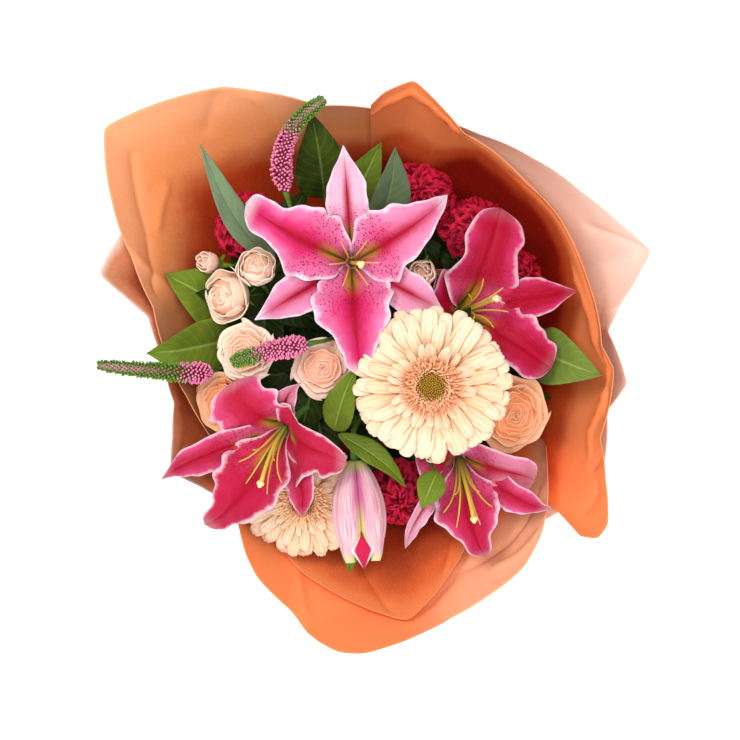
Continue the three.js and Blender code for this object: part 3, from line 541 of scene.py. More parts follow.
def tepal(kind, rng, ruffle, stretch=1, recurve=LILY_RECURVE, sway=0, curl=22, blunt=0, slim=1, wavy=1):
    """The middle surface of one tepal, which leaves the trumpet along the axis and bends outwards.

    stretch and slim scale its length and width, and wavy the waves of its outline. It ends recurve degrees
    from the axis and curls on by curl degrees at its tip, which sways sideways by sway degrees. blunt is the
    half width that its rounded end keeps, as a share of the widest.
    """
    t, s = grid(48, 32)
    steps = t[:, :1]
    slope = np.radians(LILY_OPENING + (recurve - LILY_OPENING) * steps + curl * smooth(steps, 0.7, 1))
    step = TEPAL_LONG * stretch / (len(steps) - 1)
    r = kind["start"] + running(np.sin(slope[:, 0]))[:, None] * step
    h = TRUMPET_FOOT + running(np.cos(slope[:, 0]))[:, None] * step
    widths = np.interp(steps, np.linspace(0, 1, len(kind["widths"])), kind["widths"])
    ending = np.sqrt(np.maximum(0, 1 - (np.maximum(steps - TIP_FROM, 0) / (1 - TIP_FROM)) ** 2))
    half = kind["half"] * slim * eased(np.maximum(widths, blunt * ending))
    off = np.abs(s)
    belly = np.sin(math.pi * t) ** 0.8
    waves, edges = 0, 0
    for side in (-1, 1):
        on = np.where(s * side > 0, 1.0, 0.0)
        first, second, third = (rng.uniform(0, 2 * math.pi) for _ in range(3))
        fine = np.sin(2 * math.pi * rng.uniform(5.5, 7) * t + second)
        waves = waves + on * (np.sin(2 * math.pi * rng.uniform(2.2, 3) * t + first) + 0.4 * fine)
        edges = edges + on * (0.8 * np.sin(2 * math.pi * rng.uniform(2.2, 3.2) * t + third) + 0.4 * fine)
    half = half * (1 + OUTLINE_WAVE * edges * belly * kind["ruffled"] * wavy)
    # Across, a tepal bends round the axis in the trumpet and flattens outside it.
    bend = r / (1 - 0.97 * smooth(t, 0.05, 0.35))
    arc = TEPAL_WRAP * np.tanh(s * half / bend / TEPAL_WRAP)
    sideways = bend * np.sin(arc)
    rib = -1.6 * bump(s, 0, 0.07) * (1 - 0.5 * t) + 0.9 * bump(off, 0.22, 0.12) * (1 - 0.8 * t)
    lift = bend * (1 - np.cos(arc)) + rib * smooth(t, 0.04, 0.2) - kind["sunk"] * belly
    lift += s * s * kind["fold"] * np.sin(math.pi * t) + ruffle * kind["ruffled"] * waves * off**2.2 * belly
    lift += rng.uniform(-0.14, 0.14) * s * half * t
    turn = math.radians(sway + rng.uniform(-2, 2)) * t**2
    out = r - lift * np.cos(slope)
    x = out * np.cos(turn) - sideways * np.sin(turn)
    y = out * np.sin(turn) + sideways * np.cos(turn)
    return np.stack([x, y, h + lift * np.sin(slope)], 2), t, s


def turned_by(points, degrees):
    """Points turned about the z axis."""
    turn = math.radians(degrees)
    matrix = np.array([[math.cos(turn), -math.sin(turn), 0], [math.sin(turn), math.cos(turn), 0], [0, 0, 1]])
    return points @ matrix.T


def ring_stack(profile, sides):
    """Rings of points round the z axis, one for each radius and height."""
    turns = np.linspace(0, 2 * math.pi, sides, endpoint=False)
    rim = np.stack([np.cos(turns), np.sin(turns)], 1)
    return np.array([np.column_stack([r * rim, np.full(sides, z)]) for r, z in profile])


def lily_finish(look):
    """Pink petals with pale margins, a deep midrib, raised spots and a green star in the throat."""
    finish = Finish("lily_petal")
    along, across = finish.carried("along", "across")
    tone, under, paleness_and_painted_light = finish.carried("tone", "under", "pale")
    off = abs(across)
    veins = finish.noise(6.0, 3.0, 0.6, where=finish.stretched(across * 7.0, along * 0.9, tone * 5.0))
    cloud = finish.noise(70.0)
    faded = off + (veins - 0.5) * 0.5 + (cloud - 0.5) * 0.5 + paleness_and_painted_light * 0.6
    light = finish.blend(faded.between(0.22, 0.95), look.pink, look.pale)
    deep = finish.blend(faded.between(0.36, 1.0), look.deep, look.pink)
    body = finish.blend(tone, light, deep)
    # The tepal's pale value whitens it: partly its own paler colour, partly painted light on a tepal lying in
    # shade.
    body = finish.blend(paleness_and_painted_light * along.between(0.3, 0.6), body, "FFDCEF")
    rib = off.between(0.36, 0.0) * along.between(0.98, 0.6) * along.between(0.1, 0.4)
    line = off.between(0.06, 0.0) * along.between(1.0, 0.8)
    body = finish.blend(rib * 0.95 + line * 0.3, body, look.rib)
    near = along.between(0.48, 0.24) * (1 - tone * 0.6) * paleness_and_painted_light.between(-0.8, 0.0)
    body = finish.blend(near * off.between(0.05, 0.4) * 0.6, body, look.pale)
    ragged = off + (finish.noise(200.0) - 0.5) * 0.26
    margin = ragged.between(0.8, 1.0) * 0.85 + along.between(0.84, 1.0) * (1 - tone * 0.9)
    body = finish.blend(margin * (1 - 0.25 * tone), body, look.margin)
    dotted = along.between(0.06, 0.14) * along.between(0.62, 0.42) * off.between(1.0, 0.85)
    spots = (finish.spots(430.0).between(0.34, 0.18) + finish.spots(640.0).between(0.3, 0.16) * 0.6) * dotted
    body = finish.blend(spots * (0.8 - tone * 0.2), body, look.spot)
    star = along.between(0.42, 0.22) * off.between(0.34, 0.04)
    body = finish.blend(star, body, finish.blend(off.between(0.14, 0.0), look.throat, "5E5A14"))
    body = finish.blend(under * 0.4, body, look.margin)
    normal = finish.relief(veins * 0.8 + spots * 0.4, 0.9)
    return finish.done(body, 0.42, normal, Specular_IOR_Level=0.2)


def stamen_finish(look):
    """Filaments that are green at the foot and yellow towards their tips."""
    finish = Finish("lily_stamen")
    along = finish.carried("along")
    body = finish.blend(along.between(0.0, 0.6), "7E963A", look.filament)
    body = finish.blend(finish.carried("tone"), body, "F6E49A")
    return finish.done(body, 0.4)


def lily_heart(shape, lean):
    """Six filaments, their anthers taken off, round a longer style with its three-lobed stigma.

    lean is how far they are drawn to the side at a height of 60 millimetres.
    """
    drawn = np.array(lean) / 60**2
    for k in range(6):
        line = rounded(FILAMENT)
        line[:, :3] = turned_by(line[:, :3], 60 * k + 30)
        line[:, :2] += np.outer(line[:, 2] ** 2, drawn)
        shape.tube(line, 7)
    line = rounded(STYLE)
    line[:, :2] += np.outer(line[:, 2] ** 2, drawn)
    shape.tube(line, 9)
    for k in range(3):
        side = turned_by(np.array([[1.6, 0, 0]]), 120 * k)[0]
        foot = line[-1, :3] + side * 0.4 + [0, 0, -1.5]
        tip = line[-1, :3] + side + [0, 0, 2.5]
        shape.bead(foot, tip, 2.0, 8, 1.0, (0.6, 1.0, 0.9, 0.5))


class BuildLilies(Operator):
    """Four lilies, each with three broad petals inside three narrow ones"""

    bl_idname = "bouquet.lilies"
    bl_label = "Lilies"

    def execute(self, context):
        look = context.scene.lily_look
        petal, gold = lily_finish(look), stamen_finish(look)
        for number, (name, lily) in enumerate(LILIES.items()):
            rng = random.Random(SEEDS["lily"] + number)
            place = facing(lily)
            petals = Shape(place)
            for k in range(6):
                kind = SEPAL if k % 2 else PETAL
                bends = dict(lily.bends.get(k, {}))
                pale, turn = bends.pop("pale", 0.0), bends.pop("turn", 0)
                middle, t, s = tepal(kind, rng, look.ruffle / MM, **bends)
                petals.blade(turned_by(middle, 60 * k + turn), t, s, THICK["lily"], lily.tone, pale)
            petals.body(ring_stack(LILY_CUP, 24), along=np.zeros(len(LILY_CUP)), tone=lily.tone)
            petals.piece(name + "_petals", petal, "lily_petal", name + "_tepals")
            heart = Shape(place)
            lily_heart(heart, lily.lean)
            heart.piece(name + "_stamens", gold, "lily_stamen", name + "_heart")
        return {"FINISHED"}


# ---- The lily bud --------------------------------------------------------------------------------
BUD = Bloom((-15, -80, 194), (0.08, -0.99, 0.1), roll=90)
BUD_LONG, BUD_RADIUS = 74, 19
BUD_SPAN = 122  # how far round the bud one tepal reaches, in degrees


def bud_finish(look):
    """Lavender tepals with a crimson tip between them and green edges towards it."""
    finish = Finish("lily_bud")
    along, across, tone = finish.carried("along", "across", "tone")
    off = abs(across)
    veins = finish.noise(6.0, 2.0, where=finish.stretched(across * 5, along * 0.6, 0.0))
    body = finish.blend(veins.between(0.3, 0.7), "FBD8DA", "E08CA4")
    body = finish.coated(
        body,
        (off.between(0.5, 0.9) * along.between(0.85, 0.3), "C86A92"),
        (off.between(0.12, 0.0) * 0.4, "B4688E"),
        (off.between(0.74, 0.96) * along.between(0.35, 0.65), "CFC86A"),
        (along.between(0.86, 1.0) * 0.8, "E3DC98"),
        (along.between(0.16, 0.0), "A9B35A"),
    )
    inner = finish.blend(off.between(0.6, 0.85), "D0164A", "FBE6EE")
    body = finish.blend(tone, body, inner)
    return finish.done(body, 0.42, finish.relief(veins, 0.4), Specular_IOR_Level=0.25)


def bud_tepal():
    """The radius and turn of one of the bud's three tepals at each point of its grid."""
    t, s = grid(40, 24)
    belly = np.sin(math.pi * np.minimum(1, 0.04 + 0.84 * t)) ** 0.75
    wide = 2.6 + (BUD_RADIUS - 2.6) * belly
    tucked = 1 + 0.14 * (1 - s * s) - 0.16 * smooth(np.abs(s), 0.7, 1) - 0.05 * bump(s, 0, 0.1)
    parted = 3.0 * smooth(t, 0.78, 1) * (1 - s * s)
    turn = s * (math.radians(BUD_SPAN / 2) * (1 - 0.8 * smooth(t, 0.66, 1.04)))
    return wide * 0.92 * tucked + parted, turn, t, s


class BuildLilyBud(Operator):
    """An opening bud whose tepals have just parted at the tip"""

    bl_idname = "bouquet.lily_bud"
    bl_label = "Lily bud"

    def execute(self, context):
        shape = Shape(facing(BUD))
        r, across, t, s = bud_tepal()
        for k in range(3):
            turn = across + math.radians(120 * k + 60)
            middle = np.stack([r * np.cos(turn), r * np.sin(turn), BUD_LONG * t], 2)
            shape.blade(middle, t, s, THICK["bud"])
        steps = np.linspace(0, 1, 14)
        core = [(2 + 11 * math.sin(math.pi * min(1, 0.04 + 0.86 * t)) ** 0.8, 2 + 64 * t) for t in steps]
        shape.body(ring_stack(core, 18), along=np.full(14, 0.9), tone=1.0)
        t, s = grid(14, 10)
        diamond = 10.5 * np.minimum(1.9 * t, 1.6 * (1 - t)).clip(0, 1)
        tip = np.stack([15.6 - 5 * t - 1.2 * np.abs(s), s * diamond, 53 + 26 * t], 2)
        shape.blade(tip, t, s, THICK["bud_tip"], 1.0)
        shape.piece("lily_bud_tepals", bud_finish(context.scene.lily_look), "lily_bud", "lily_bud")
        return {"FINISHED"}


# ---- Gerberas ------------------------------------------------------------------------------------
GERBERAS = {
    "gerbera_1": Bloom((40, -17, 243), (0, -0.08, 1)),
    # gerbera_2's pale is painted light that lifts its heart out of the shade of lily_3.
    "gerbera_2": Bloom((-53, -111, 165), (-0.1, -0.3, 0.95), roll=8, size=0.88, pale=0.8),
}
# The rows of rays from the outside: to is how far a ray reaches and half its half width, lift and droop shape
# its arch, and turn sets its row off by a share of the step between two rays.
RAYS = (
    {"count": 26, "to": 58.5, "half": 6.8, "height": 3.2, "lift": 4.2, "droop": 3.0, "turn": 0.0},
    {"count": 25, "to": 56, "half": 6.0, "height": 4.4, "lift": 4.8, "droop": 1.6, "turn": 0.5},
    {"count": 14, "to": 50, "half": 5.0, "height": 5.8, "lift": 4.8, "droop": 0.6, "turn": 0.2},
    {"count": 28, "to": 33, "half": 2.8, "height": 7.0, "lift": 4.4, "droop": -0.4, "turn": 0.7},
)
RAY_FOOT = 11
GERBERA_HEART = 12.6
GERBERA_CUP = ((3, 0), (9, 0.4), (12.4, 3), (15, 7.5), (20, 10.5), (12, 11), (10, 7.2), (3, 7.2))
# The rings of tongues round the heart: how many, their radius and their height.
TONGUES = ((44, 11.2, 5.5), (48, 14.5, 5.0), (50, 18.0, 4.2))
FLORETS = 250


def ray(row, rng):
    """The middle surface of one ray: grooved along its length, with a rounded and notched end."""
    t, s = grid(18, 10)
    reach = row["to"] * rng.uniform(0.93, 1.0)
    width = row["half"] * rng.uniform(0.85, 1.1)
    notch = 1.4 * bump(np.abs(s), 0.33, 0.15) * smooth(t, 0.88, 1) * rng.uniform(0, 1)
    out = RAY_FOOT + (reach - RAY_FOOT - 2.8 * np.abs(s) ** 3.4 * smooth(t, 0.7, 1)) * t**0.85 - notch
    half = width * (0.22 + 0.78 * smooth(t, 0, 0.5)) * (1 - 0.2 * smooth(t, 0.8, 1))
    grooves = -0.5 * bump(np.abs(s), 0.42, 0.15) + 0.6 * (1 - s * s)
    curl = rng.uniform(-1.6, 3.0) * t**3
    z = row["height"] + row["lift"] * np.sin(2.6 * t) - row["droop"] * t * t + grooves + curl
    z += rng.uniform(-0.16, 0.16) * s * width * t
    side = s * half + rng.uniform(-3.5, 3.5) * t**2
    return np.stack([out, side, z], 2), t, s


def ray_finish(look):
    """Cream rays with painted shade: warmer in their grooves, along their edges, on their undersides and
    towards the heart, where the rays shade one another.
    """
    finish = Finish("gerbera_petal")
    along, across, tone = finish.carried("along", "across", "tone")
    off = abs(across)
    groove = off.between(0.25, 0.42) * off.between(0.6, 0.42)
    fibre = finish.noise(5.0, 3.0, 0.6, where=finish.stretched(across * 5, along * 0.8, tone * 9))
    body = finish.blend(tone.between(0.35, 1.0) * 0.5, look.ray, "FBD0A0")
    # Painted shade: the rays warm towards the heart, in their grooves, along their edges and on their
    # undersides.
    body = finish.blend(along.between(0.72, 0.08) * 0.85, body, look.base)
    painted_seam_shade = groove * 0.35 + off.between(0.7, 1.0) * 0.9
    body = finish.coated(
        body,
        (painted_seam_shade * along.between(1.05, 0.6), look.base),
        (fibre.between(0.5, 0.8) * 0.3, look.base),
        (finish.carried("under") * 0.6, look.base),
    )
    return finish.done(body, 0.55, finish.relief(fibre, 0.5), Specular_IOR_Level=0.2)


def gerbera_heart_finish(look):
    """Peach florets with pale tips round an olive eye. pale lifts them towards cream: painted light on a
    heart that lies in shade.
    """
    finish = Finish("gerbera_heart")
    along, tone = finish.carried("along", "tone")
    body = finish.blend(tone, look.eye, look.fuzz)
    tip = finish.blend(tone, "CC9C3C", "FFDDB0")
    body = finish.blend(along.between(0.45, 1.0) * 0.7, body, tip)
    # Painted light: pale lifts the florets of a heart that lies in shade.
    body = finish.blend(finish.carried("pale"), body, "FFDCAE")
    return finish.done(body, 0.7, Specular_IOR_Level=0.15)


def gerbera_rays(shape, rng):
    """The rows of rays and the cup that carries them."""
    for row in RAYS:
        for k in range(row["count"]):
            middle, t, s = ray(row, rng)
            turn = 360 * (k + row["turn"] + rng.uniform(-0.16, 0.16)) / row["count"]
            shape.blade(turned_by(middle, turn), t, s, THICK["ray"], rng.random())
    shape.body(ring_stack(GERBERA_CUP, 30), along=np.zeros(len(GERBERA_CUP)))


def gerbera_heart(shape, rng, pale):
    """Rings of small tongues and fuzz, and a dome of closed florets on a spiral."""
    foot = HEART_FOOT
    dome = [(4, foot), (11.5, foot), (12.5, foot + 2), (8, foot + 2), (2, foot + 1.4)]
    shape.body(ring_stack(dome, 24), along=np.zeros(len(dome)), tone=0.1)
    for count, start, tall in TONGUES:
        for k in range(count):
            t, s = grid(5, 2)
            reach = rng.uniform(4.0, 7.0)
            out = start + reach * t + rng.uniform(-0.8, 0.8)
            z = foot + 1.8 + (start - 11) * 0.42 + rng.uniform(0.7, 1.15) * tall * np.sin(1.9 * t)
            side = s * 0.95 * (1 - 0.5 * t) + rng.uniform(-1.2, 1.2) * t
            middle = np.stack([out, side, z], 2)
            turn = 360 * (k + rng.uniform(-0.4, 0.4)) / count
            shape.blade(turned_by(middle, turn), t, s, THICK["tongue"], rng.uniform(0.8, 1), pale)
    for n in range(FLORETS):
        r = GERBERA_HEART * math.sqrt((n + 0.5) / FLORETS)
        turn = n * GOLDEN_ANGLE
        share = r / GERBERA_HEART
        ring = smooth(share, 0.6, 0.95)
        tall = 1.2 + 4 * min(share, 0.4) + 3.2 * ring + rng.uniform(-0.6, 0.8) * (0.4 + ring)
        lean = 0.3 * share + rng.uniform(-0.18, 0.18)
        low = np.array([r * math.cos(turn), r * math.sin(turn), foot + 1.4 + 1.4 * share])
        high = low + [lean * tall * math.cos(turn), lean * tall * math.sin(turn), tall]
        tone = float(smooth(share + rng.uniform(-0.08, 0.08), 0.6, 0.9))
        shape.bead(low, high, 0.78, 5, tone, (0.8, 1.0, 0.7))


class BuildGerberas(Operator):
    """Two gerberas, each with four rows of rays round a fuzzy heart"""

    bl_idname = "bouquet.gerberas"
    bl_label = "Gerberas"

    def execute(self, context):
        look = context.scene.gerbera_look
        cream, peach = ray_finish(look), gerbera_heart_finish(look)
        for number, (name, gerbera) in enumerate(GERBERAS.items()):
            rng = random.Random(SEEDS["gerbera"] + number)
            place = facing(gerbera, gerbera.size)
            rays = Shape(place)
            gerbera_rays(rays, rng)
            rays.piece(name + "_petals", cream, "gerbera_petal", name + "_rays")
            heart = Shape(place)
            gerbera_heart(heart, rng, gerbera.pale)
            heart.piece(name + "_florets", peach, "gerbera_heart", name + "_heart")
        return {"FINISHED"}


# ---- Roses ---------------------------------------------------------------------------------------
ROSES = {
    "rose_1": Bloom((95, -44, 170), (0.3, -0.1, 0.95), 20, form="full"),
    "rose_2": Bloom((-105, -39, 149), (-0.38, -0.12, 0.9), 50, 0.84, form="full"),
    "spray_rose_1": Bloom((-85, 58, 193), (-0.1, 0.45, 0.88), 0, 0.76, 0.7, "closed"),
    "spray_rose_2": Bloom((-100, 40, 165), (-0.65, 0, 0.76), 30, 0.92, 0.8, "folded"),
    "spray_rose_3": Bloom((-92, 0, 176), (-0.25, 0, 0.95), 60, 1.02, 0.7, "open"),
    "spray_rose_4": Bloom((-39, -11, 190), (0.05, 0.05, 1), 10, form="open"),
    "rose_bud_1": Bloom((-118, 62, 151), (-0.6, 0.2, 0.75), form="bud"),
    "rose_bud_2": Bloom((34, 58, 199), (0, 0.1, 0.99), 0, 1.25, 0.3, "bud"),
    "rose_bud_3": Bloom((43, -66, 206), (0.05, -0.4, 0.9), form="bud"),
}
# Each row of petals: how many, their radius, the heights of foot and rim, their span and how far they flare.
ROSE_ROWS = {
    "full": (
        (5, 22, 4, 23.5, 94, 6.5),
        (5, 18.5, 5, 25.5, 92, 4.2),
        (5, 15.4, 7, 27, 88, 2.4),
        (5, 12.2, 8, 28, 88, 1.3),
        (4, 9.2, 9, 28.8, 106, 0.8),
        (4, 6.4, 10, 29.3, 106, 0.4),
        (3, 3.8, 10, 29.7, 130, 0.1),
        (2, 1.8, 10, 29.6, 170, 0.0),
    ),
    "open": (
        (5, 17, 3, 13.5, 92, 4.6),
        (5, 14.6, 4, 16.6, 90, 2.6),
        (4, 11.8, 5, 18.8, 108, 1.2),
        (4, 9, 6, 20, 108, 0.5),
        (3, 6.2, 6, 20.8, 130, 0.2),
        (3, 3.8, 6, 21.2, 130, 0.0),
        (2, 1.8, 6, 21.2, 170, 0.0),
    ),
    "closed": (
        (5, 20, 1, 20, 96, -2.0),
        (4, 18.6, 2, 26, 112, -6.5),
        (3, 16, 4, 29, 130, -8.5),
        (3, 11.5, 6, 30, 130, -7.0),
        (3, 6, 8, 30, 130, -3.6),
    ),
    "folded": (
        (4, 21, 1, 19, 112, 0.8),
        (4, 19, 2, 24, 112, -4.0),
        (3, 16, 4, 26.5, 130, -7.5),
        (3, 11.5, 6, 27.5, 130, -7.0),
        (3, 6, 8, 27.5, 130, -3.6),
    ),
    "bud": (
        (3, 9, 2, 16.5, 128, -2.4),
        (3, 7.2, 4, 18.6, 126, -3.2),
        (3, 4.4, 5, 19.6, 130, -2.2),
    ),
}
ROW_TURN = 80.75  # from one row to the next, in degrees


def rose_petal(row, rng):
    """A patch of a bowl whose rim rolls outwards, or inwards where flare is below 0. One side tucks in."""
    _, radius, low, high, span, flare = row
    t, s = grid(14, 16)
    root = 0.42 * radius
    turn = math.radians(span / 2) * s * (0.35 + 0.65 * np.sqrt(t))
    bowl = root + (radius - root) * np.sin(math.pi / 2 * t**0.8)
    roll = flare * smooth(t, 0.5 if flare > 0 else 0.35, 1) * (1 + 0.4 * s * s * np.sign(flare))
    tuck = 0.06 * radius * s * (0.2 + 0.8 * t)
    ripple = (0.5 + 0.035 * radius) * np.sin(rng.uniform(4, 7) * s + rng.uniform(0, 6)) * t**2 * 0.8
    tall = high * rng.uniform(0.94, 1.02)
    rim = 1 - 0.22 * s**4 - 0.1 * s * s * (flare > 2)
    z = low + (tall - low) * t * (1 - (1 - rim) * t) - 0.55 * abs(flare) * smooth(t, 0.8, 1) * (flare > 0)
    z += 0.7 * np.sin(3.4 * s + rng.uniform(0, 6)) * t**3
    r = bowl + roll + tuck + ripple
    return np.stack([r * np.cos(turn), r * np.sin(turn), z], 2), t, s


def rose_bloom(shape, rows, pale, rng):
    """Rows of petals over a cushion that closes the hollows between them."""
    turn = 0
    for depth, row in enumerate(rows):
        for k in range(row[0]):
            middle, t, s = rose_petal(row, rng)
            angle = turn + 360 * k / row[0] + rng.uniform(-6, 6)
            shape.blade(turned_by(middle, angle), t, s, THICK["rose"], depth / len(rows), pale)
        turn += ROW_TURN
    low, top, wide = rows[0][2], rows[-1][3], rows[0][1]
    profile = [(2, 0), (0.3 * wide, 0.6), (0.62 * wide, low + 2)]
    profile += [((row[1] + min(row[5], 0)) * 0.93, row[3] - 3.4) for row in rows[1:-1]]
    profile += [(0.5, top - 3.6)]
    shape.body(ring_stack(profile, 24), along=np.linspace(0, 0.5, len(profile)), tone=0.7)


def rose_finish(name, outer, deep):
    """Soft petals, warmer towards the heart and in the folds, partly their own warmer heart and partly
    painted shade in the hollows between them, with a painted highlight on their rims.
    """
    finish = Finish(name)
    along, across, tone = finish.carried("along", "across", "tone")
    veins = finish.noise(6.0, 3.0, where=finish.stretched(across * 3.5, along * 0.8, tone * 7))
    # Towards each petal's foot and the inner rows: partly the rose's own warmer heart, partly painted shade
    # in the hollows.
    body = finish.blend(along.between(0.94, 0.3) * 0.7 + tone * 0.25, outer, deep)
    body = finish.coated(
        body,
        (veins.between(0.5, 0.75) * 0.25, deep),
        # Painted highlight along the petals' rims.
        (along.between(0.8, 1.0) * 0.16, "FFF3E6"),
        # pale draws a bloom towards cream: partly its own paler colour, partly painted light on a bloom lying
        # in shade.
        (finish.carried("pale") * 0.7, "FFF0D8"),
    )
    return finish.done(body, 0.5, finish.relief(veins, 0.4), Specular_IOR_Level=0.2)


class BuildRoses(Operator):
    """The large roses, the spray roses and their buds"""

    bl_idname = "bouquet.roses"
    bl_label = "Roses"

    def execute(self, context):
        look = context.scene.rose_look
        peach = rose_finish("rose_petal", look.peach, look.flush)
        cream = rose_finish("spray_rose_petal", look.cream, look.blush_and_shade)
        for number, (name, rose) in enumerate(ROSES.items()):
            shape = Shape(facing(rose, rose.size))
            rng = random.Random(SEEDS["rose"] + number)
            rose_bloom(shape, ROSE_ROWS[rose.form], rose.pale, rng)
            if rose.form == "full":
                shape.piece(name + "_bloom", peach, "rose_petal", name + "_petals")
            else:
                shape.piece(name + "_petals", cream, "spray_rose_petal", name)
        return {"FINISHED"}


# ---- Carnations ----------------------------------------------------------------------------------
CARNATIONS = {
    "carnation_1": Bloom((-96, 92, 150), (-0.45, 0.5, 0.75), 0, 0.94),
    "carnation_2": Bloom((33, 112, 154), (0.05, 0.4, 0.9), 15, 0.96),
    "carnation_3": Bloom((74, 86, 146), (0.35, 0.4, 0.85), 40, 0.96),
    "carnation_4": Bloom((104, 50, 138), (0.6, 0.2, 0.75), 5, 0.94),
    "carnation_5": Bloom((18, -110, 147), (0.05, -0.4, 0.9), 25, 1.0),
}
# Each row of frilled petals: how many, their length and the angle that they stand up at.
FRILLS = ((9, 30, 14), (9, 28.5, 32), (9, 27, 48), (8, 25.5, 63), (6, 24, 76), (4, 22, 86))
CARNATION_CUP = ((2, 0), (4.5, 0.4), (6, 3), (3, 7))


def frill(reach, rise, rng):
    """A fan whose edge is crumpled and toothed."""
    t, s = grid(10, 30)
    turn = math.radians(26) * s * (0.4 + 0.6 * t)
    first, second = rng.uniform(0, 6), rng.uniform(0, 6)
    folds = 4.2 * np.sin(4.6 * s + first) + 1.8 * np.sin(9.5 * s + second) + 0.5 * np.sin(22 * s)
    crumple = t**1.5 * folds
    teeth = 1.0 * smooth(t, 0.85, 1) * np.abs(np.sin(15 * s + first))
    distance = 2 + (reach * rng.uniform(0.88, 1.03) - 2 - 2.5 * s * s) * t - teeth
    lean = math.radians(rise) + 0.25 * np.sin(math.pi * t) - 0.3 * t**2
    out = distance * np.cos(lean) - crumple * np.sin(lean)
    high = distance * np.sin(lean) + crumple * np.cos(lean)
    side = crumple * 0.4 * np.cos(7 * s + second)
    x = out * np.cos(turn) - side * np.sin(turn)
    y = out * np.sin(turn) + side * np.cos(turn)
    return np.stack([x, y, high + 0.5], 2), t, s


def carnation_finish(look):
    """Dark crimson petals with brighter, broken edges, partly their own colour and partly painted highlight,
    and painted shade towards their feet.
    """
    finish = Finish("carnation_petal")
    along, tone = finish.carried("along", "tone")
    cloud = finish.noise(240.0, 3.0)
    edge = (along + (cloud - 0.5) * 0.4).between(0.8, 1.0)
    body = finish.blend(tone * 0.6, look.crimson, "5E021A")
    # Brighter edges: partly the frills' own colour, partly painted highlight.
    body = finish.blend(edge * 0.85, body, look.edge)
    # Painted shade: near black towards the petals' feet, deep in the bloom.
    body = finish.blend(along.between(0.92, 0.5), body, "280006")
    return finish.done(body, 0.6, finish.relief(cloud, 0.3), Specular_IOR_Level=0.12)


class BuildCarnations(Operator):
    """Five carnations of crumpled, toothed petals"""

    bl_idname = "bouquet.carnations"
    bl_label = "Carnations"

    def execute(self, context):
        crimson = carnation_finish(context.scene.carnation_look)
        for number, (name, bloom) in enumerate(CARNATIONS.items()):
            rng = random.Random(SEEDS["carnation"] + number)
            shape = Shape(facing(bloom, bloom.size))
            for count, reach, rise in FRILLS:
                turn = rng.uniform(0, 360)
                for k in range(count):
                    middle, t, s = frill(reach, rise + rng.uniform(-7, 7), rng)
                    middle = turned_by(middle, turn + 360 * k / count)
                    shape.blade(middle, t, s, THICK["frill"], rng.random())
            shape.body(ring_stack(CARNATION_CUP, 14), along=np.zeros(len(CARNATION_CUP)))
            shape.piece(name + "_bloom", crimson, "carnation_petal", name + "_petals")
        return {"FINISHED"}


# ---- Speedwell -----------------------------------------------------------------------------------
# Each spike leaves its first point for the second and ends at the third.
SPIKES = {
    "speedwell_1": ((-65, 119, 200), (-76, 160, 217), (-36, 184, 225)),
    "speedwell_2": ((-124, -16, 176), (-134, -16, 201), (-202, -8, 206)),
    "speedwell_3": ((-50, 9, 222), (-76, 6, 238), (-102, -2, 243)),
}
# How far along its buds turn green.
GREENING = {"speedwell_1": 0.5, "speedwell_2": 0.29, "speedwell_3": 0.54}
SPIKE_RADIUS = 8.4
SPIKE_FLORETS = 480


def bent(route, t):
    """The point at t on the curve that leaves the first point for the second and ends at the third."""
    first, middle, last = (np.array(point, float) for point in route)
    return first * (1 - t) ** 2 + middle * 2 * t * (1 - t) + last * t**2


def spike_width(t):
    """A spike's radius: narrower at its foot, tapering, and rounded off at its tip."""
    tip = math.sqrt(1 - max(0, (t - 0.9) / 0.12) ** 2)
    return SPIKE_RADIUS * min(1, 0.6 + 3 * t) * (1 - 0.42 * t**1.3) * tip


def speedwell_finish(look):
    """Pink florets with pale lips that turn to green buds towards the tip, darker at their feet in painted
    shade between the florets.
    """
    finish = Finish("speedwell_spike")
    along, tone = finish.carried("along", "tone")
    # Painted shade: each floret darkens towards its foot, in the gaps between the florets.
    open_floret = finish.blend(along.between(0.4, 1.0), "9C0E48", look.open)
    young = finish.blend(along.between(0.3, 1.0), "3E6420", look.young)
    body = finish.blend(tone, open_floret, young)
    return finish.done(body, 0.6, Specular_IOR_Level=0.2)


def spike(shape, route, greening, rng):
    """Florets in a tight spiral round a tapering core."""
    steps = np.linspace(0, 1, 20)
    core = np.array([[*bent(route, step), 0.6 * spike_width(step)] for step in steps])
    shape.tube(core, 10, 0.3)
    for n in range(SPIKE_FLORETS):
        t = (n + 0.5) / SPIKE_FLORETS
        middle = bent(route, t)
        ahead = bent(route, min(1, t + 0.01)) - bent(route, t - 0.01)
        ahead /= np.linalg.norm(ahead)
        side = np.cross(ahead, [0.3, 0.2, 0.93])
        side /= np.linalg.norm(side)
        out = side * math.cos(n * GOLDEN_ANGLE) + np.cross(ahead, side) * math.sin(n * GOLDEN_ANGLE)
        wide = spike_width(t)
        young = float(smooth(t + rng.uniform(-0.08, 0.08), greening, greening + 0.2))
        low = middle + out * wide * 0.5
        high = middle + out * wide * (1 + rng.uniform(-0.1, 0.12)) + ahead * wide * rng.uniform(0.15, 0.4)
        high += rng.uniform(-0.5, 0.5) * side
        shape.bead(low, high, rng.uniform(0.75, 1.05) * (1.25 - 0.35 * t), 6, young, (0.7, 1.0, 0.6))


class BuildSpeedwell(Operator):
    """Three spikes of speedwell, open at the foot and in green bud at the tip"""

    bl_idname = "bouquet.speedwell"
    bl_label = "Speedwell"

    def execute(self, context):
        finish = speedwell_finish(context.scene.speedwell_look)
        for number, (name, route) in enumerate(SPIKES.items()):
            shape = Shape()
            spike(shape, route, GREENING[name], random.Random(SEEDS["speedwell"] + number))
            shape.piece(name + "_florets", finish, "speedwell_spike", name)
        return {"FINISHED"}


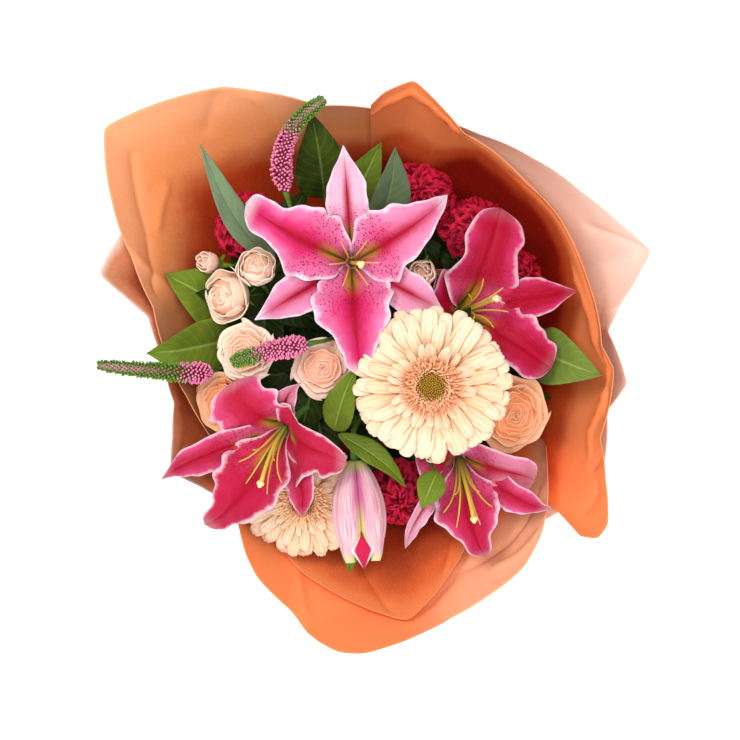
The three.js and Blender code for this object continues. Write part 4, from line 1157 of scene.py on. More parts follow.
# ---- Stems and leaves ----------------------------------------------------------------------------
CROWN_TO_WAIST = 0.14  # how much of its crown's distance from the axis a stem keeps at the waist
BUNDLE_RADIUS = 21.4
STEM_SPACING = 7
SPACING_ROUNDS = 600
LEVELS = ((96, 3.1, -6), (45, 1.9, -16), (0, 1, -28), (-135, 1.03, -52))  # height, spread, turn
CUT_END_LOW = -22.2
UNDERSTORY_BELOW = 38
TIP_DROOP = 4.5
# The neck under each kind of bloom: how far below its base, and how thick.
NECKS = {
    "lily": ((26, 1.9), (10, 2.4), (0, 3.2)),
    "lily_bud": ((24, 1.9), (8, 2.6), (0, 3.4)),
    "gerbera": ((30, 2.6), (9, 3), (0, 9)),
    "rose": ((26, 2.4), (8, 2.6), (0, 3.6)),
    "spray_rose": ((24, 1.6), (6, 2.4), (0, 5.4)),
    "rose_bud": ((22, 1.6), (6, 2.2), (0, 4.6)),
    "carnation": ((26, 1.8), (21, 4.6), (0, 6)),
    "speedwell": ((20, 1.5), (8, 1.6), (0, 2.6)),
}


class Leaf(NamedTuple):
    """A leaf's foot and tip, the way its upper side looks, and its half width."""

    foot: tuple
    tip: tuple
    shows: tuple
    half: float
    arch: float = 6  # how far it is arched along its length
    bow: float = 0  # how far it is bent to its side
    # How far a leaf is darkened: partly its own deeper green, partly painted shade where it lies under the
    # blooms.
    dark_and_shade: float = 0
    # pale is partly a leaf's own grey-green and partly a painted highlight, as on the glossy right leaf.
    pale: float = 0
    rows: int = 36


class Stem(NamedTuple):
    """A stem's radius, the blooms it carries, its leaves, and the fork of one that carries leaves alone."""

    radius: float
    carries: tuple = ()
    leaves: tuple = ()
    fork: tuple = ()


def single_stems(radius, *heads):
    """A stem of its own for each of some blooms."""
    return {head + "_stem": Stem(radius, (head,)) for head in heads}


STEMS = {
    "lily_stem_1": Stem(
        3,
        ("lily_1", "lily_2"),
        (Leaf((0, 89, 176), (16, 147, 222), (0.4, -0.4, 1), 15.5, dark_and_shade=0.8, pale=0.3),),
    ),
    "lily_stem_2": Stem(
        3,
        ("lily_3", "lily_4", "lily_bud"),
        (
            Leaf((-30, -58, 190), (-14, -10, 226), (-0.4, -0.3, 1), 12),
            Leaf((-27, -60, 196), (25, -94, 206), (0.3, 0.5, 1), 8.5, dark_and_shade=0.15),
            Leaf((-40, -60, 140), (32, -54, 158), (0, 0, 1), 17, arch=3, dark_and_shade=1.1, rows=18),
            Leaf((46, -86, 205), (33, -111, 213), (0, 0.2, 1), 10.5, arch=3, rows=18),
        ),
    ),
    **single_stems(2.8, *GERBERAS),
    **single_stems(2.6, "rose_1", "rose_2"),
    "spray_stem_1": Stem(2.4, ("spray_rose_1", "spray_rose_2", "spray_rose_3", "rose_bud_1")),
    "spray_stem_2": Stem(2.4, ("spray_rose_4", "rose_bud_2", "rose_bud_3")),
    **single_stems(2, *CARNATIONS),
    **single_stems(1.7, *SPIKES),
    "foliage_left": Stem(
        2.2,
        leaves=(
            Leaf((-100, 18, 126), (-154, 55, 164), (0.3, 0.2, 1), 24, arch=4),
            Leaf((-106, 6, 138), (-166, 0, 182), (0.2, -0.2, 1), 22, dark_and_shade=0.15),
        ),
        fork=(-84, 8, 118),
    ),
    "foliage_top": Stem(
        2.2,
        leaves=(
            Leaf((-38, 112, 150), (-43, 172, 206), (0.2, -0.5, 1), 20, dark_and_shade=0.75),
            Leaf((-18, 108, 150), (5, 150, 186), (-0.2, -0.4, 1), 14, dark_and_shade=0.3),
        ),
        fork=(-26, 88, 120),
    ),
    "foliage_blade": Stem(
        2,
        leaves=(Leaf((-74, 66, 172), (-120, 151, 240), (0.4, -0.3, 1), 10, bow=-8, dark_and_shade=0.6, pale=0.55),),
        fork=(-62, 62, 130),
    ),
    "foliage_right": Stem(
        2.2,
        # Its pale is a painted highlight on its glossy face.
        leaves=(Leaf((118, 1, 142), (162, -18, 196), (-0.5, 0.1, 1), 21, pale=0.08),),
        fork=(96, 4, 116),
    ),
    "foliage_bottom": Stem(
        2.2,
        leaves=(
            Leaf((-14, -112, 128), (-21, -168, 161), (0, 0.4, 1), 14, arch=2),
            Leaf((50, -100, 126), (78, -144, 150), (-0.2, 0.4, 1), 12, arch=3),
        ),
        fork=(34, -84, 104),
    ),
}


def head_of(name):
    """A bloom's kind, its base and the way it looks."""
    kind = name.rstrip("_0123456789")
    if name in SPIKES:
        foot, middle, _ = (np.array(point, float) for point in SPIKES[name])
        return kind, foot, middle - foot
    bloom = {**LILIES, **GERBERAS, **ROSES, **CARNATIONS, "lily_bud": BUD}[name]
    return kind, np.array(bloom.base, float), np.array(bloom.faces, float)


def below(name, distance):
    """The point that far below a bloom's base, along its axis."""
    _, base, faces = head_of(name)
    return base - faces / np.linalg.norm(faces) * distance


def waist_layout():
    """The stems' places at the waist: their crowns', drawn in, then pushed apart until none touch."""
    places = []
    for stem in STEMS.values():
        crown = stem.fork or np.mean([below(name, 30) for name in stem.carries], axis=0)
        places.append(Vector(crown[:2]) * CROWN_TO_WAIST)
    for _ in range(SPACING_ROUNDS):
        for i, place in enumerate(places):
            for other in places[:i]:
                apart = place - other
                missing = STEM_SPACING - apart.length
                if missing <= 0:
                    continue
                apart.length = missing / 2
                place += apart
                other -= apart
            if place.length > BUNDLE_RADIUS:
                place.length = BUNDLE_RADIUS
    return places


def at_level(place, level):
    """A stem's point at one of the levels."""
    height, spread, turn = level
    x, y = (place * spread) @ Matrix.Rotation(-math.radians(turn), 2)
    return [x, y, height]


def lower_route(place, lowest):
    """A stem's points from its cut end up to below the crown."""
    route = [at_level(place, level) for level in LEVELS]
    route[-1][1] += CUT_END_LOW - lowest
    return route[::-1]


def leaf(blade, rng):
    """A leaf's middle surface, folded along the midrib, arched and a little wavy."""
    foot = np.array(blade.foot, float)
    along = np.array(blade.tip, float) - foot
    face = np.array(blade.shows, float)
    face -= along * face.dot(along) / along.dot(along)
    face /= np.linalg.norm(face)
    side = np.cross(along / np.linalg.norm(along), face)
    t, s = grid(blade.rows, 14)
    width = 0.3 + blade.half * np.sin(math.pi * np.minimum(t, 0.992) ** 0.8) ** 0.9 * (1 - t**20) ** 0.5
    wave = 1.3 * np.sin(8 * t + 2 * np.sign(s) + rng.uniform(0, 6)) * np.abs(s) ** 2 * np.sin(math.pi * t)
    groove = -0.7 * bump(s, 0, 0.09) + 0.3 * np.abs(s) * np.sin(26 * t + 5 * np.abs(s))
    lift = blade.arch * np.sin(math.pi * t) + 0.25 * width * np.abs(s) + wave + groove
    lift -= TIP_DROOP * smooth(t, 0.7, 1)
    sway = rng.uniform(-3, 3) * t**2 + blade.bow * np.sin(math.pi * t)
    point = foot + along * t[:, :, None] + side * (s * width + sway)[:, :, None] + face * lift[:, :, None]
    return point, t, s


def understory(name, rng):
    """Dark leaves on a stem below its bloom, which close the gaps between the blooms. Their near-black colour
    is painted shade.
    """
    leaves = []
    if head_of(name)[0] in ("speedwell", "rose_bud", "lily_bud"):
        return leaves
    foot = below(name, UNDERSTORY_BELOW)
    first = rng.uniform(0, 360)
    for k in range(4):
        turn = math.radians(first + 90 * k + rng.uniform(-20, 20))
        out = np.array([math.cos(turn), math.sin(turn), rng.uniform(0.0, 0.3)]) * rng.uniform(46, 60)
        tip = foot + out
        widest = 66 + 0.5 * tip[2]  # so that none reaches through the wrapping
        spread = math.hypot(tip[0], tip[1])
        if spread > widest:
            tip[:2] *= widest / spread
        half = rng.uniform(13, 17)
        shows = (rng.uniform(-0.3, 0.3), rng.uniform(-0.3, 0.3), 1)
        # Painted shade: these leaves are near black for the shade in the gaps.
        dark_and_shade = rng.uniform(0.9, 1.2)
        leaves.append(Leaf(foot, tip, shows, half, arch=8, dark_and_shade=dark_and_shade, rows=18))
    return leaves


def leaf_finish(look):
    """Glossy green with a paler midrib and side veins; tone darkens it, partly for darker leaves and partly
    as painted shade on leaves that lie in the gaps and under the blooms.
    """
    finish = Finish("leaf")
    along, across, tone = finish.carried("along", "across", "tone")
    off = abs(across)
    cloud = finish.noise(45.0, 3.0)
    veins = ((along * 60.0 - off * 14.0).sine() + 1) * 0.5
    body = finish.blend(cloud.between(0.3, 0.7) * 0.3 + tone, look.leaf, look.dark_and_shade)
    body = finish.coated(
        body,
        (veins.between(0.8, 1.0) * 0.15 * (1 - tone * 0.7), "8FB54A"),
        (off.between(0.09, 0.0) * (0.7 - tone * 0.55), "A9C46A"),
        (finish.carried("under") * 0.3 * (1 - tone * 0.8), "86A048"),
        # pale: partly the leaves' own grey-green, partly a painted highlight, as on the glossy right leaf.
        (finish.carried("pale"), "8FA88A"),
    )
    return finish.done(body, 0.4, finish.relief(veins, 0.25, 0.6), Specular_IOR_Level=0.06)


def stem_finish(look):
    """Green rods, paler at their cut ends."""
    finish = Finish("stem")
    along = finish.carried("along")
    streaks = finish.noise(10.0, 2.0, where=finish.stretched(finish.carried("across") * 6, along * 8, 0.0))
    body = finish.blend(streaks.between(0.35, 0.7) * 0.6, look.stem, "3F6B2A")
    body = finish.blend(along.between(0.012, 0.0), body, "D5D9A0")
    return finish.done(body, 0.45, finish.relief(streaks, 0.2), Specular_IOR_Level=0.25)


def stem_piece(name, stem, place, lowest, rng):
    """A stem with its forks, the necks of its blooms and its leaves."""
    rods, leaves = Shape(), Shape()
    lower = [[*point, stem.radius] for point in lower_route(place, lowest)]
    necks = []
    for head in stem.carries:
        neck = NECKS[head_of(head)[0]]
        necks.append([[*below(head, down + GAP), radius] for down, radius in neck])
    if len(necks) == 1:
        rods.tube(rounded(lower + necks[0]), 10)
        return rods, leaves
    fork = stem.fork
    if not fork:
        x, y, z = np.mean([neck[0][:3] for neck in necks], axis=0)
        fork = (0.8 * x, 0.8 * y, min(z - 18, 140))
    rods.tube(rounded([*lower, [*fork, stem.radius]]), 10)
    for neck in necks:
        rods.tube(rounded([[*fork, neck[0][3]], *neck]), 8)
    for blade in stem.leaves:
        foot = np.array(blade.foot, float)
        into = foot + (np.array(blade.tip) - foot) * 0.12
        rods.tube(rounded([[*fork, 1.6], [*foot, 1.5], [*into, 0.7]]), 8)
        middle, t, s = leaf(blade, rng)
        leaves.blade(middle, t, s, THICK["leaf"], blade.dark_and_shade, blade.pale)
    return rods, leaves


def rose_cup(shape, name):
    """Five pointed sepals under a rose."""
    bloom = ROSES[name]
    size = (15 if bloom.form == "full" else 10) * bloom.size
    shape.place = facing(bloom)
    for k in range(5):
        t, s = grid(10, 4)
        width = 0.26 * size * (1 - t) ** 0.7 + 0.15
        out = 2 + size * t
        middle = np.stack([out, s * width, -1.4 - 5 * t**1.5 - 0.4 * s * s], 2)
        shape.blade(turned_by(middle, 72 * k), t, s, THICK["sepal"])
    shape.place = None


class BuildStems(Operator):
    """The stems, spiralled through the tie, with their forks, necks and leaves"""

    bl_idname = "bouquet.stems"
    bl_label = "Stems and leaves"

    def execute(self, context):
        look = context.scene.green_look
        green, glossy = stem_finish(look), leaf_finish(look)
        layout = waist_layout()
        lowest = min(at_level(place, LEVELS[-1])[1] for place in layout)
        for number, (name, stem) in enumerate(STEMS.items()):
            rng = random.Random(SEEDS["stem"] + number)
            rods, leaves = stem_piece(name, stem, layout[number], lowest, rng)
            for head in stem.carries:
                if head in ROSES:
                    rose_cup(leaves, head)
                for blade in understory(head, rng):
                    middle, t, s = leaf(blade, rng)
                    leaves.blade(middle, t, s, THICK["dark_leaf"], blade.dark_and_shade)
            rods.piece(name + "_rods", green, "leaf" if stem.fork else "stem", name)
            if leaves.points:
                leaves.piece(name + "_leaves", glossy, "leaf")
        return {"FINISHED"}


# ---- The wrapping --------------------------------------------------------------------------------
WAIST_RADIUS = 27
LAYER_STEP = 1.3
HANDLE = 95
HANDLE_FLARE = 3
HANDLE_ROWS, BELLY_ROWS = 14, 90
COLUMNS_A_DEGREE = 1.5
LIP_SOFTENING, RIM_SOFTENING = 4, 1  # the passes that soften the rims' corners
BELLY_RADIUS, BELLY_HEIGHT = 152, 102  # the point that draws the sheets' curve out from the waist
PLEATS, FINE_PLEATS = 23, 37
CREASE_GAIN = 1.7
CLEARANCE = 0.4  # a sheet's least height over the surface
# A sheet's width and length, by which a crease's shares become millimetres.
MEAN_RADIUS = 180
SHEET_LENGTH = 215
# Each sheet: its layer from the inside, its rim as turns in degrees, radii and heights, and its creases as
# two ends of turn and share of the way to the rim, height and half width in millimetres. Then the colour of
# its fibres, and what paper_finish() says of stops and lit.
SHEETS = {
    "wrap_lip_inner": {
        "layer": 0,
        "rim": (
            (215, 127, 126), (228, 136, 134), (240, 160, 142), (252.5, 183, 144), (265, 195, 156),
            (277, 207, 167), (284, 192, 155), (290, 179, 146), (295.4, 166, 140), (308, 146, 136),
            (325, 127, 122),
        ),
        "creases": (((262, 0.6), (274, 0.98), 1.6, 5), ((300, 0.6), (287, 0.95), -1.8, 5)),
        "fibre": "F7B184",
        "stops": (0.98, 0.85, 0.6),
    },
    "wrap_lip": {
        "layer": 1,
        "rim": (
            (222, 155, 150), (231.8, 166, 165), (238, 184, 165), (243, 196, 163), (252.7, 210, 160),
            (259.6, 229, 175), (263.6, 237, 181), (268, 238, 181), (274.8, 232, 171), (285, 213, 159),
            (294.5, 204, 163), (304, 198, 168), (311, 189, 170), (317.5, 177, 168), (325, 160, 158),
            (330, 150, 150),
        ),
        "creases": (
            ((318, 0.84), (291, 0.8), 2.6, 4),
            ((312, 0.97), (298, 0.88), -2.0, 5),
            ((291, 0.8), (279, 0.9), 1.6, 6),
            ((248, 0.7), (256, 0.96), -1.5, 6),
        ),
        "fibre": "E88C58",
        "stops": (0.8, 0.6, 0.3),
    },
    "wrap_right": {
        "layer": 2,
        "rim": (
            (-42, 204, 190), (-40, 214, 195), (-36.6, 213, 196), (-29, 194, 195), (-21, 178, 195),
            (-12, 177, 195), (-4, 175, 196), (1.8, 165, 196), (16, 164.6, 196), (27, 165, 196),
            (37, 166, 195), (48, 165, 193), (60, 171, 192), (68, 173, 192), (75, 185, 196),
            (82, 199, 200), (88, 189, 195), (91, 180, 188),
        ),
        "creases": (
            ((90, 0.9), (68, 0.95), -3.2, 4),
            ((68, 0.95), (44, 0.955), 2.6, 4),
            ((52, 0.88), (30, 0.93), 2.8, 4),
            ((32, 0.94), (2, 0.91), 3.0, 4),
            ((22, 0.84), (-4, 0.88), -2.6, 5),
            ((0, 0.95), (-26, 0.86), -3.2, 4),
            ((-4, 0.9), (-16, 0.96), 2.0, 4),
            ((-29, 0.87), (-24, 0.99), 2.0, 4),
            ((-31, 0.93), (-38, 0.86), 1.8, 4),
        ),
        "fibre": "F39A68",
        "stops": (0.92, 0.82, 0.71),
        "lit": (-0.45, 0.1, 0.55, 0.75),
    },
    "wrap_left": {
        "layer": 3,
        "rim": (
            (75, 168, 140), (83, 174, 148), (91, 178, 160), (97, 181, 172), (103, 184, 180), (113, 207, 186),
            (120, 225, 188), (131, 242, 185), (140.4, 256, 180), (150, 222, 178), (159, 192, 175),
            (169, 168, 172), (182, 155, 168), (194, 146, 165), (209, 142, 150), (215, 146, 135),
            (222, 150, 118),
        ),
        "creases": (
            ((140.5, 0.88), (154, 0.83), 2.4, 9),
            ((154, 0.83), (166, 0.9), 2.2, 9),
            ((141.5, 0.74), (152, 0.79), -2.2, 6),
            ((166, 0.72), (158, 0.98), -2.6, 10),
            ((112, 0.72), (116, 0.98), -2.4, 12),
            ((128, 0.8), (121, 0.97), 1.6, 8),
        ),
        "fibre": "FFC69C",
        "stops": (0.94, 0.76, 0.57),
    },
    "wrap_back_right": {
        "layer": 4,
        "rim": (
            (-60, 176, 120), (-45, 188, 138), (-30, 196, 157), (-14.6, 178, 178), (-7.4, 188, 186),
            (5, 171, 185), (11, 183, 186), (17, 204, 188), (20, 216, 190), (28, 204, 188), (38, 192, 186),
            (51, 182, 182), (64, 177, 172), (75, 177, 150), (86, 176, 135), (98, 170, 120), (110, 160, 105),
        ),
        "creases": (((30, 0.8), (21, 0.98), 1.6, 8), ((8, 0.84), (10, 0.98), -1.6, 6)),
        "fibre": "FFEADC",
        "stops": (0.8, 0.7, 0.5),
    },
    "wrap_back_left": {
        "layer": 5,
        "rim": (
            (140, 172, 105), (146, 186, 128), (152.8, 204, 152), (158, 207, 165), (164.5, 211, 180),
            (168, 190, 170), (172, 172, 158), (184, 160, 145), (196, 158, 145), (204, 168, 155),
            (211, 180, 165), (218.5, 170, 150), (227, 164, 125), (236, 155, 105),
        ),
        "creases": (((208, 0.8), (211, 0.97), 1.6, 6),),
        "fibre": "FFEADC",
        "stops": (1.0, 0.94, 0.8),
    },
}


def crease(turns, t, ends):
    """The height that one crease adds at each point of a sheet: a sharp ridge that dies away at its ends."""
    (from_turn, from_t), (to_turn, to_t), height, width = ends
    scale = np.array([math.radians(1) * MEAN_RADIUS, SHEET_LENGTH])
    start = np.array([from_turn, from_t]) * scale
    line = np.array([to_turn, to_t]) * scale - start
    across = np.degrees(turns) * scale[0] - start[0]
    up = t * scale[1] - start[1]
    reach = np.linalg.norm(line)
    along = (across * line[0] + up * line[1]) / reach**2
    apart = np.abs(across * line[1] - up * line[0]) / reach
    ridge = height * np.exp(-1.5 * apart / width)
    return ridge * smooth(along, -0.12, 0.15) * (1 - smooth(along, 0.85, 1.12))


def rim_line(rim, columns, passes):
    """The rim at even steps of turn, its corners softened by a number of passes."""
    turn, radius, height = np.array(rim, float).T
    steps = np.linspace(turn[0], turn[-1], columns + 1)
    return np.radians(steps), *(eased(np.interp(steps, turn, values), passes) for values in (radius, height))


def paper(sheet):
    """A sheet's middle surface, from the end of the handle over the belly to the rim."""
    layer, rim = sheet["layer"], sheet["rim"]
    columns = int((rim[-1][0] - rim[0][0]) * COLUMNS_A_DEGREE)
    phi, radius, height = rim_line(rim, columns, LIP_SOFTENING if layer < 2 else RIM_SOFTENING)
    waist = WAIST_RADIUS + LAYER_STEP * layer
    rows = np.arange(HANDLE_ROWS + BELLY_ROWS + 1)
    t = np.clip((rows - HANDLE_ROWS) / BELLY_ROWS, 0, 1)[:, None]
    down = np.clip(1 - rows / HANDLE_ROWS, 0, 1)[:, None]
    belly = 2 * t * (1 - t)
    r = waist * (1 - t) ** 2 + belly * (BELLY_RADIUS + 8 * np.cos(phi) + 2 * layer) + radius * t * t
    z = belly * (BELLY_HEIGHT - 7 * np.cos(phi) - 1.5 * layer) + height * t * t
    r = r + HANDLE_FLARE * down
    z = z - HANDLE * down
    # Pleats from the waist, the same for all sheets, and slow folds of each sheet's own.
    pleats = np.sin(PLEATS * phi + 1.7 * np.sin(3 * phi)) + 0.6 * np.sin(FINE_PLEATS * phi + 2)
    gathered = smooth(t, 0, 0.12) * (1 - smooth(t, 0.3, 0.8))
    seed = 1.3 * layer
    own = np.sin(5 * phi + seed) * np.sin(2.2 * t * math.pi + seed) + 0.7 * np.sin(9 * phi - 4 * t + 2 * seed)
    push = 1.3 * pleats * gathered + 0.25 * pleats * down + 1.6 * own * smooth(t, 0.45, 0.8)
    creased = CREASE_GAIN * sum(crease(phi, t, ends) for ends in sheet["creases"])
    push = push + creased
    r = r + push * 0.8
    z = z - push * 0.5 * t
    turn = phi * np.ones_like(r)
    middle = np.stack([r * np.cos(turn), r * np.sin(turn), z], 2)
    sunk = CLEARANCE - (middle @ RISE + WAIST_HEIGHT)
    middle += np.maximum(sunk, 0)[:, :, None] * RISE
    across = np.linspace(-1, 1, columns + 1) * np.ones_like(r)
    return middle, t * np.ones_like(r), across, creased


def paper_finish(name, sheet, tints, right):
    """Matte fibre paper, mottled by its fibres. Its inside deepens from the rim to where the blooms stand, in
    painted shade.

    stops are the shares of the way to the rim at which its three tints are reached. lit are four places
    across the sheet: beyond the outer two it is lighter in painted light, and between the inner two it keeps
    to its stops. right is a tint for the sheet's right side, painted light that shines through the lip's
    single layer.
    """
    finish = Finish(name)
    along, across, under = finish.carried("along", "across", "under")
    ridge = finish.carried("tone")
    fine = finish.noise(1000.0, 3.0, 0.7)
    wide = finish.noise(30.0, 3.0)
    threads = finish.noise(14.0, 3.0, 0.6, where=finish.stretched(across * 9.0, along * 1.5, 0.0))
    rim, middle, deep, outside = tints
    fibre, stops = sheet["fibre"], sheet["stops"]
    level = along + (wide - 0.5) * 0.1
    if "lit" in sheet:
        from_left, left, right_from, to_right = sheet["lit"]
        level = level + (across.between(left, from_left) + across.between(right_from, to_right)) * 0.2
    # Painted light: the lip is paler on its right side, where light shines through its single layer.
    if right is not None:
        rim = finish.blend(across.between(-0.05, 0.3), rim, right)
    # Painted shade: the inside deepens from the rim towards the blooms, whose shade falls there.
    painted_shade = level.between(stops[1], stops[2])
    body = finish.blend(level.between(stops[0], stops[1]), rim, middle)
    body = finish.coated(
        body,
        (painted_shade, deep),
        # Painted light and shade along the creases: lighter on the ridges, deeper in the valleys.
        (ridge.between(0.8, 4.0) * 0.5, rim),
        (ridge.between(-0.8, -4.0) * 0.5, middle),
        (under, outside),
        (fine.between(0.45, 0.75) * (0.3 - painted_shade * 0.24), fibre),
        (threads.between(0.55, 0.75) * (0.14 - painted_shade * 0.1), fibre),
    )
    return finish.done(body, 0.85, finish.relief(fine * 0.5 + threads, 0.2), Specular_IOR_Level=0.1)


class BuildWrapping(Operator):
    """Six sheets of fibre paper round the bouquet"""

    bl_idname = "bouquet.wrapping"
    bl_label = "Wrapping"

    def execute(self, context):
        look = context.scene.wrap_look
        orange, light, peach = look.orange, look.outside, look.peach
        # Each sheet's three tints from its rim inwards, deepening in painted shade towards the blooms, and
        # its outside.
        tints = {
            "wrap_lip_inner": (orange, "EE6A34", "B8381A", light),
            "wrap_right": ("FF9258", "DC5420", look.shade, light),
            "wrap_left": ("FBAA78", "F09458", "BC3C12", light),
            "wrap_lip": ("FF9258", orange, orange, light),
            "wrap_back_right": (peach, peach, light, peach),
            "wrap_back_left": (peach, "DE9468", "A8562E", peach),
        }
        for name, sheet in SHEETS.items():
            # The lip's right side takes the outside colour as painted light through its single layer.
            right = light if name == "wrap_lip" else None
            material = paper_finish(name.replace("wrap", "paper"), sheet, tints[name], right)
            middle, t, s, creased = paper(sheet)
            shape = Shape()
            shape.blade(middle, t, s, THICK["paper"], np.tile(creased.ravel(), 2))
            slot = "wrap_peach" if "back" in name else "wrap_orange"
            shape.piece(name.replace("wrap", "sheet"), material, slot, name)
        return {"FINISHED"}


# ---- Twine and ribbon ----------------------------------------------------------------------------
TWINE = {"radius": 25.2, "thick": 0.8, "turns": 3, "from": -13.2, "to": -9.2}
BAND = {"radius": 36.2, "from": -19, "to": -5}
BAND_MIDDLE = (BAND["from"] + BAND["to"]) / 2
BAND_HALF = (BAND["to"] - BAND["from"]) / 2
KNOT = ((-6.5, 2.5), (-4, 4.6), (0, 4.9), (4, 4.6), (6.5, 2.5))  # places from side to side, and radii
LOOP_REACH = 17
TAIL = {"long": 62, "aside": 24}


def twine_finish(look):
    """Twisted jute."""
    finish = Finish("twine")
    lay = (finish.carried("across") * 12.0 + finish.carried("along") * 900.0).sine()
    body = finish.blend(lay.between(-1.0, 1.0), look.twine, "7A6238")
    return finish.done(body, 0.9, finish.relief(lay, 0.5))


def ribbon_finish(look):
    """Satin with a fine rib across it."""
    finish = Finish("ribbon")
    rib = (finish.carried("along") * 500.0).sine()
    body = finish.blend(rib.between(-1.0, 1.0) * 0.3, look.ribbon, "FBD0BC")
    return finish.done(body, 0.35, finish.relief(rib, 0.1), Sheen_Weight=0.3)


def coil(shape):
    """The twine's turns round the stems."""
    steps = np.linspace(0, 1, 160)
    turns = steps * 2 * math.pi * TWINE["turns"]
    x, y = TWINE["radius"] * np.cos(turns), TWINE["radius"] * np.sin(turns)
    z = TWINE["from"] + (TWINE["to"] - TWINE["from"]) * steps
    shape.tube(np.stack([x, y, z, np.full(len(steps), TWINE["thick"])], 1), 8)


def band(shape):
    """The ribbon's turn round the handle."""
    t, s = grid(96, 6)
    turn = 2 * math.pi * t + math.pi / 2
    r = BAND["radius"] + 0.4 * np.sin(40 * t + 2 * s) * (1 - s * s)
    middle = np.stack([r * np.cos(turn), r * np.sin(turn), BAND_MIDDLE + BAND_HALF * s], 2)
    shape.blade(middle, t, s, THICK["ribbon"])


def bow(shape):
    """A knot, two loops and two tails on the upper side."""
    out = BAND["radius"] + 3
    shape.tube(np.array([[x, out + 0.4, BAND_MIDDLE, r] for x, r in KNOT]), 12)
    for side in (-1, 1):
        t, s = grid(30, 6)
        turn = 2 * math.pi * t
        half = 2.6 + 4.2 * np.sin(turn / 2) ** 0.8
        x = LOOP_REACH * (1 - np.cos(turn))
        rise = out - 0.4 + 7 * np.sin(turn) + 0.16 * x
        shape.blade(np.stack([side * x, rise, BAND_MIDDLE + half * s], 2), t, s, THICK["ribbon"])
        t, s = grid(24, 6)
        notch = 5 * (1 - np.abs(s)) * smooth(t, 0.85, 1)
        x = side * (1 + TAIL["aside"] * t) + (3 + 2.5 * smooth(t, 0, 0.2)) * s
        rise = out + 4 * np.sin(2 * t) + 0.8 * np.sin(9 * t + side)
        z = BAND_MIDDLE - 2 - TAIL["long"] * t - 3 * side * s + notch
        shape.blade(np.stack([x, rise, z], 2), t, s, THICK["ribbon"])


class BuildTies(Operator):
    """The twine round the stems and the ribbon round the handle"""

    bl_idname = "bouquet.ties"
    bl_label = "Twine and ribbon"

    def execute(self, context):
        look = context.scene.wrap_look
        twine, ribbon = Shape(), Shape()
        coil(twine)
        twine.piece("twine", twine_finish(look), "twine", "stem_tie")
        band(ribbon)
        bow(ribbon)
        ribbon.piece("ribbon_bow", ribbon_finish(look), "ribbon", "ribbon")
        return {"FINISHED"}


# ---- Stage ---------------------------------------------------------------------------------------
CAMERA_ELEVATION = math.radians(38)
LOOKS_AT = (-3.7, -13.2, 190)  # the point in the middle of the picture, in the bouquet's frame
PICTURE_SIDE = 740
FOCAL_PIXELS = 2313
WORLD_LIGHT = 0.45
FLOOR_GLOW = 0.45
FLOOR_HALF = 4
KEY_LAMP = {"size": 0.6, "power": 22, "place": (-0.75, -1.15, 1.95)}
FILL_LAMP = {"size": 0.5, "power": 10, "off": (0.1, 0, 0.15), "distance": 1.5}  # near the camera's line


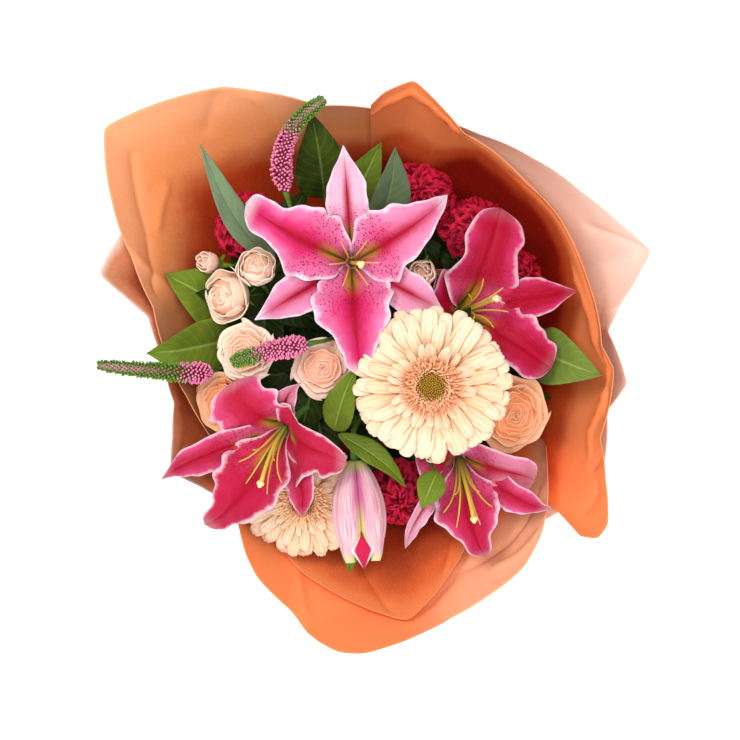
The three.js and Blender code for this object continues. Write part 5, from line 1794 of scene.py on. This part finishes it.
class BuildStage(Operator):
    """The camera, the floor and the lights"""

    bl_idname = "bouquet.stage"
    bl_label = "Stage"

    def execute(self, context):
        look = context.scene.stage_look
        scene = context.scene
        target = Vector(laid_down(np.array([LOOKS_AT]))[0])
        back = Vector((0, -math.cos(CAMERA_ELEVATION), math.sin(CAMERA_ELEVATION)))
        camera = bpy.data.objects.new("camera", bpy.data.cameras.new("camera"))
        camera.location = target + back * look.distance
        camera.rotation_euler = (-back).to_track_quat("-Z", "Y").to_euler()
        camera.data.angle = 2 * math.atan(PICTURE_SIDE / 2 / FOCAL_PIXELS)
        scene.collection.objects.link(camera)
        scene.camera = camera
        world = bpy.data.worlds.new("studio")
        world.use_nodes = True
        sky = world.node_tree.nodes["Background"].inputs
        sky["Color"].default_value = (1, 1, 1, 1)
        sky["Strength"].default_value = WORLD_LIGHT
        scene.world = world
        self.lamp("key", KEY_LAMP["place"], target, KEY_LAMP)
        fill = target + back * FILL_LAMP["distance"] + Vector(FILL_LAMP["off"])
        self.lamp("fill", fill, target, FILL_LAMP)
        mesh = bpy.data.meshes.new("floor")
        corners = [(x * FLOOR_HALF, y * FLOOR_HALF, 0) for x, y in ((-1, -1), (1, -1), (1, 1), (-1, 1))]
        mesh.from_pydata(corners, [], [(0, 1, 2, 3)])
        glow = {"Emission_Color": (1, 1, 1, 1), "Emission_Strength": FLOOR_GLOW}
        mesh.materials.append(Finish("floor").done(look.floor, 0.9, **glow))
        floor = bpy.data.objects.new("floor", mesh)
        scene.collection.objects.link(floor)
        scene.view_settings.view_transform = "Standard"
        return {"FINISHED"}

    def lamp(self, name, place, target, form):
        """Hangs a square lamp at a place and turns it to the target."""
        light = bpy.data.lights.new(name, "AREA")
        light.size = form["size"]
        light.energy = form["power"]
        lamp = bpy.data.objects.new(name, light)
        lamp.location = place
        lamp.rotation_euler = (target - Vector(place)).to_track_quat("-Z", "Y").to_euler()
        bpy.context.scene.collection.objects.link(lamp)


# ---- The add-on ----------------------------------------------------------------------------------
LOOKS = {
    "lily_look": LilyLook,
    "gerbera_look": GerberaLook,
    "rose_look": RoseLook,
    "carnation_look": CarnationLook,
    "speedwell_look": SpeedwellLook,
    "green_look": GreenLook,
    "wrap_look": WrapLook,
    "stage_look": StageLook,
}
BUILDERS = (
    BuildStage,
    BuildLilies,
    BuildLilyBud,
    BuildGerberas,
    BuildRoses,
    BuildCarnations,
    BuildSpeedwell,
    BuildStems,
    BuildWrapping,
    BuildTies,
)


class BouquetPanel(Panel):
    """Lists the bouquet's pieces and their settings"""

    bl_idname = "VIEW3D_PT_bouquet"
    bl_label = "Bouquet"
    bl_space_type = "VIEW_3D"
    bl_region_type = "UI"
    bl_category = "Bouquet"

    def draw(self, context):
        for builder in BUILDERS:
            self.layout.operator(builder.bl_idname)
        for name, look in LOOKS.items():
            box = self.layout.box()
            for setting in look.__annotations__:
                box.prop(getattr(context.scene, name), setting)


def register():
    for each in (*LOOKS.values(), *BUILDERS, BouquetPanel):
        bpy.utils.register_class(each)
    for name, look in LOOKS.items():
        setattr(bpy.types.Scene, name, PointerProperty(type=look))


def unregister():
    for name in LOOKS:
        delattr(bpy.types.Scene, name)
    for each in (BouquetPanel, *reversed(BUILDERS), *LOOKS.values()):
        bpy.utils.unregister_class(each)


def main():
    register()
    for builder in BUILDERS:
        group, name = builder.bl_idname.split(".")
        getattr(getattr(bpy.ops, group), name)()


if __name__ == "__main__":
    main()
